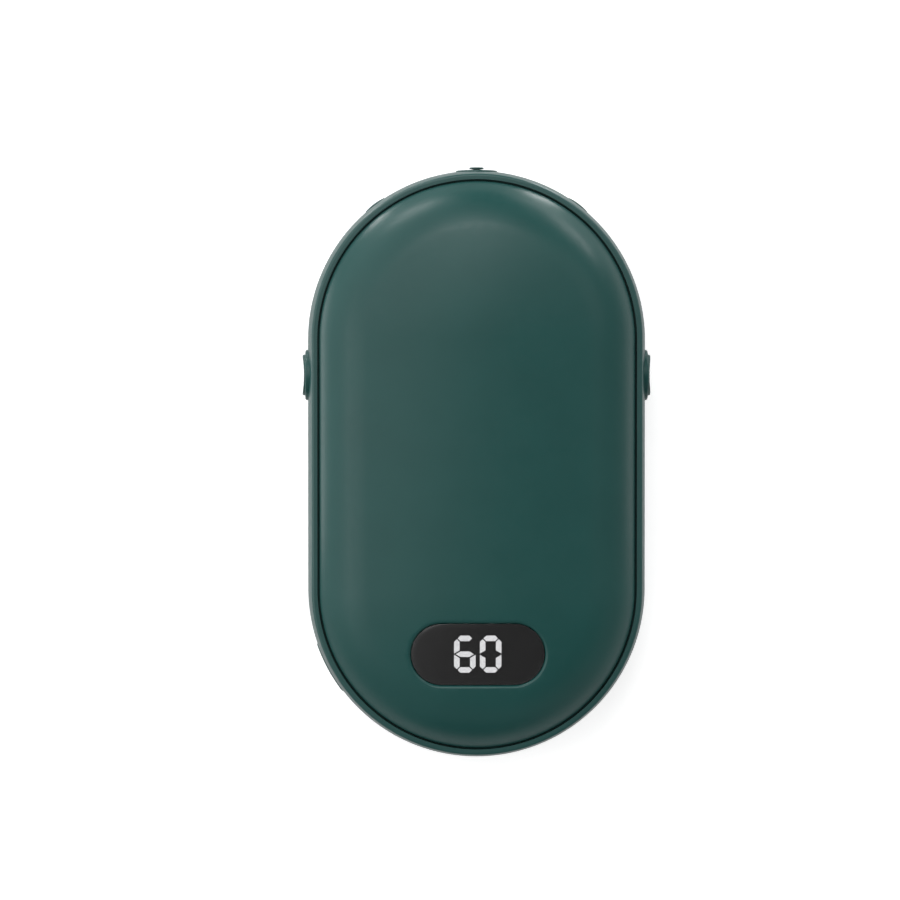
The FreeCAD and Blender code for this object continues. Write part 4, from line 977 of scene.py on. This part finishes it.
def floor_paper():
    """White paper that stays white to the eye, takes the shadow and is clear from below."""
    paper = bpy.data.materials.new("floor_paper")
    paper.use_nodes = True
    tree = paper.node_tree
    tree.nodes.clear()
    add = node_adder(tree)
    ray = add("ShaderNodeLightPath").outputs
    level = 0.0
    for name, share in FLOOR_GLOW.items():
        terms = ((0, ray[name]), (1, share), (2, level))
        level = add("ShaderNodeMath", *terms, operation="MULTIPLY_ADD").outputs[0]
    grain = add("ShaderNodeTexNoise", ("Scale", 900.0))
    tone = add("ShaderNodeValToRGB", ("Fac", grain.outputs["Fac"]))
    tone.color_ramp.elements[0].color = (0.79, 0.79, 0.79, 1)
    tone.color_ramp.elements[1].color = (0.82, 0.82, 0.82, 1)
    paint = add("ShaderNodeBsdfDiffuse", ("Color", tone.outputs["Color"]))
    glow = add("ShaderNodeEmission", ("Strength", level))
    both = add("ShaderNodeAddShader", (0, paint.outputs[0]), (1, glow.outputs[0]))
    below = add("ShaderNodeNewGeometry").outputs["Backfacing"]
    clear = add("ShaderNodeBsdfTransparent")
    sided = add("ShaderNodeMixShader", (0, below), (1, both.outputs[0]), (2, clear.outputs[0]))
    add("ShaderNodeOutputMaterial", ("Surface", sided.outputs[0]))
    return paper


floor_data = bpy.data.meshes.new("floor")
corner_signs = ((-1, -1), (1, -1), (1, 1), (-1, 1))
floor_corners = [(x * FLOOR_HALF, y * FLOOR_HALF, FLOOR_Z) for x, y in corner_signs]
floor_data.from_pydata(floor_corners, [], [(0, 1, 2, 3)])
floor_data.materials.append(floor_paper())
floor = bpy.data.objects.new("floor", floor_data)
scene.collection.objects.link(floor)

# The room's light and dark sides: degrees from straight up and from +X, reach in degrees, gain
ROOM_LEVEL = 0.6
ROOM_SIDES = (
    (60, 150, 68, 1.3),
    (25, -30, 38, -0.35),
    (36, 25, 24, 0.9),
    (90, 90, 35, -0.55),
    (90, -90, 40, -0.5),
)

# Lamps: degrees from straight up and from +X, then distance, width and height in metres, and watts
SOFT_BOXES = {
    "overhead": (15.5, 127, 1.3, 0.68, 0.5, 0.93),
    "top_spot": (28, 90, 1.2, 0.3, 0.2, 1.42),
    "top_spot_upper": (41, 90, 1.2, 0.3, 0.3, 0.4),
    "left_panel": (42, 180, 1.0, 0.2, 0.62, 0.42),
    "left_strip": (51, 180, 1.0, 0.8, 0.09, 0.2),
    "upper_left_strip": (80, 114, 0.9, 0.3, 0.14, 1.4),
    "upper_right_strip": (79, 47, 0.9, 0.3, 0.14, 1.05),
    "upper_right_kicker": (87, 64, 0.9, 0.3, 0.08, 0.5),
}

# Boards on the floor: place and size in metres, watts, and how far each is turned in degrees
BOARD_Z = 1 * MM
BOARDS = {
    "left_board": ((-0.094, 0.016), (0.062, 0.07), 0.036, 0),
    "right_board": ((0.125, 0.065), (0.09, 0.17), 0.0365, 0),
    "upper_right_board": ((0.0345, 0.0964), (0.048, 0.015), 0.0262, 65),
    "upper_left_board": ((-0.0512, 0.086), (0.048, 0.01), 0.019, 128.5),
}


def toward(polar, azimuth):
    """Direction at an angle from straight up, turned from +X."""
    polar, azimuth = math.radians(polar), math.radians(azimuth)
    return Vector(
        (math.sin(polar) * math.cos(azimuth), math.sin(polar) * math.sin(azimuth), math.cos(polar))
    )


def studio_sky():
    """A plain grey room, paler on the left and high on the right, darker beyond both ends."""
    sky = bpy.data.worlds.new("studio")
    scene.world = sky
    sky.use_nodes = True
    tree = sky.node_tree
    tree.nodes.clear()
    add = node_adder(tree)
    facing = add("ShaderNodeTexCoord").outputs["Generated"]
    level = ROOM_LEVEL
    for polar, azimuth, reach, gain in ROOM_SIDES:
        direction = toward(polar, azimuth)
        dot = add("ShaderNodeVectorMath", (0, facing), (1, direction), operation="DOT_PRODUCT")
        lobe = add(
            "ShaderNodeMapRange",
            ("Value", dot.outputs["Value"]),
            ("From Min", math.cos(math.radians(reach))),
            ("From Max", 1.0),
            ("To Max", gain),
            interpolation_type="SMOOTHSTEP",
        ).outputs["Result"]
        level = add("ShaderNodeMath", (0, level), (1, lobe), operation="ADD").outputs[0]
    light = add("ShaderNodeBackground", ("Strength", level))
    add("ShaderNodeOutputWorld", ("Surface", light.outputs[0]))


def area_lamp(name, width, height, power):
    """A rectangular lamp, still at the origin."""
    lamp = bpy.data.lights.new(name, "AREA")
    lamp.shape, lamp.size, lamp.size_y, lamp.energy = "RECTANGLE", width, height, power
    holder = bpy.data.objects.new(name, lamp)
    scene.collection.objects.link(holder)
    return holder


def soft_box(name, polar, azimuth, distance, width, height, power):
    """A lamp that faces the object from a direction."""
    holder = area_lamp(name, width, height, power)
    holder.location = Vector((0, 0, MID)) + distance * toward(polar, azimuth)
    holder.rotation_euler = toward(polar, azimuth).to_track_quat("Z", "Y").to_euler()


def floor_board(name, spot, size, power, turn):
    """A bright board laid on the floor beside the object, facing up. Only reflections show it."""
    holder = area_lamp(name, *size, power)
    holder.visible_camera = False
    holder.location = (*spot, BOARD_Z)
    holder.rotation_euler = (math.pi, 0, math.radians(turn))


studio_sky()
for name, values in SOFT_BOXES.items():
    soft_box(name, *values)
for name, values in BOARDS.items():
    floor_board(name, *values)

scene.view_settings.view_transform = "Standard"
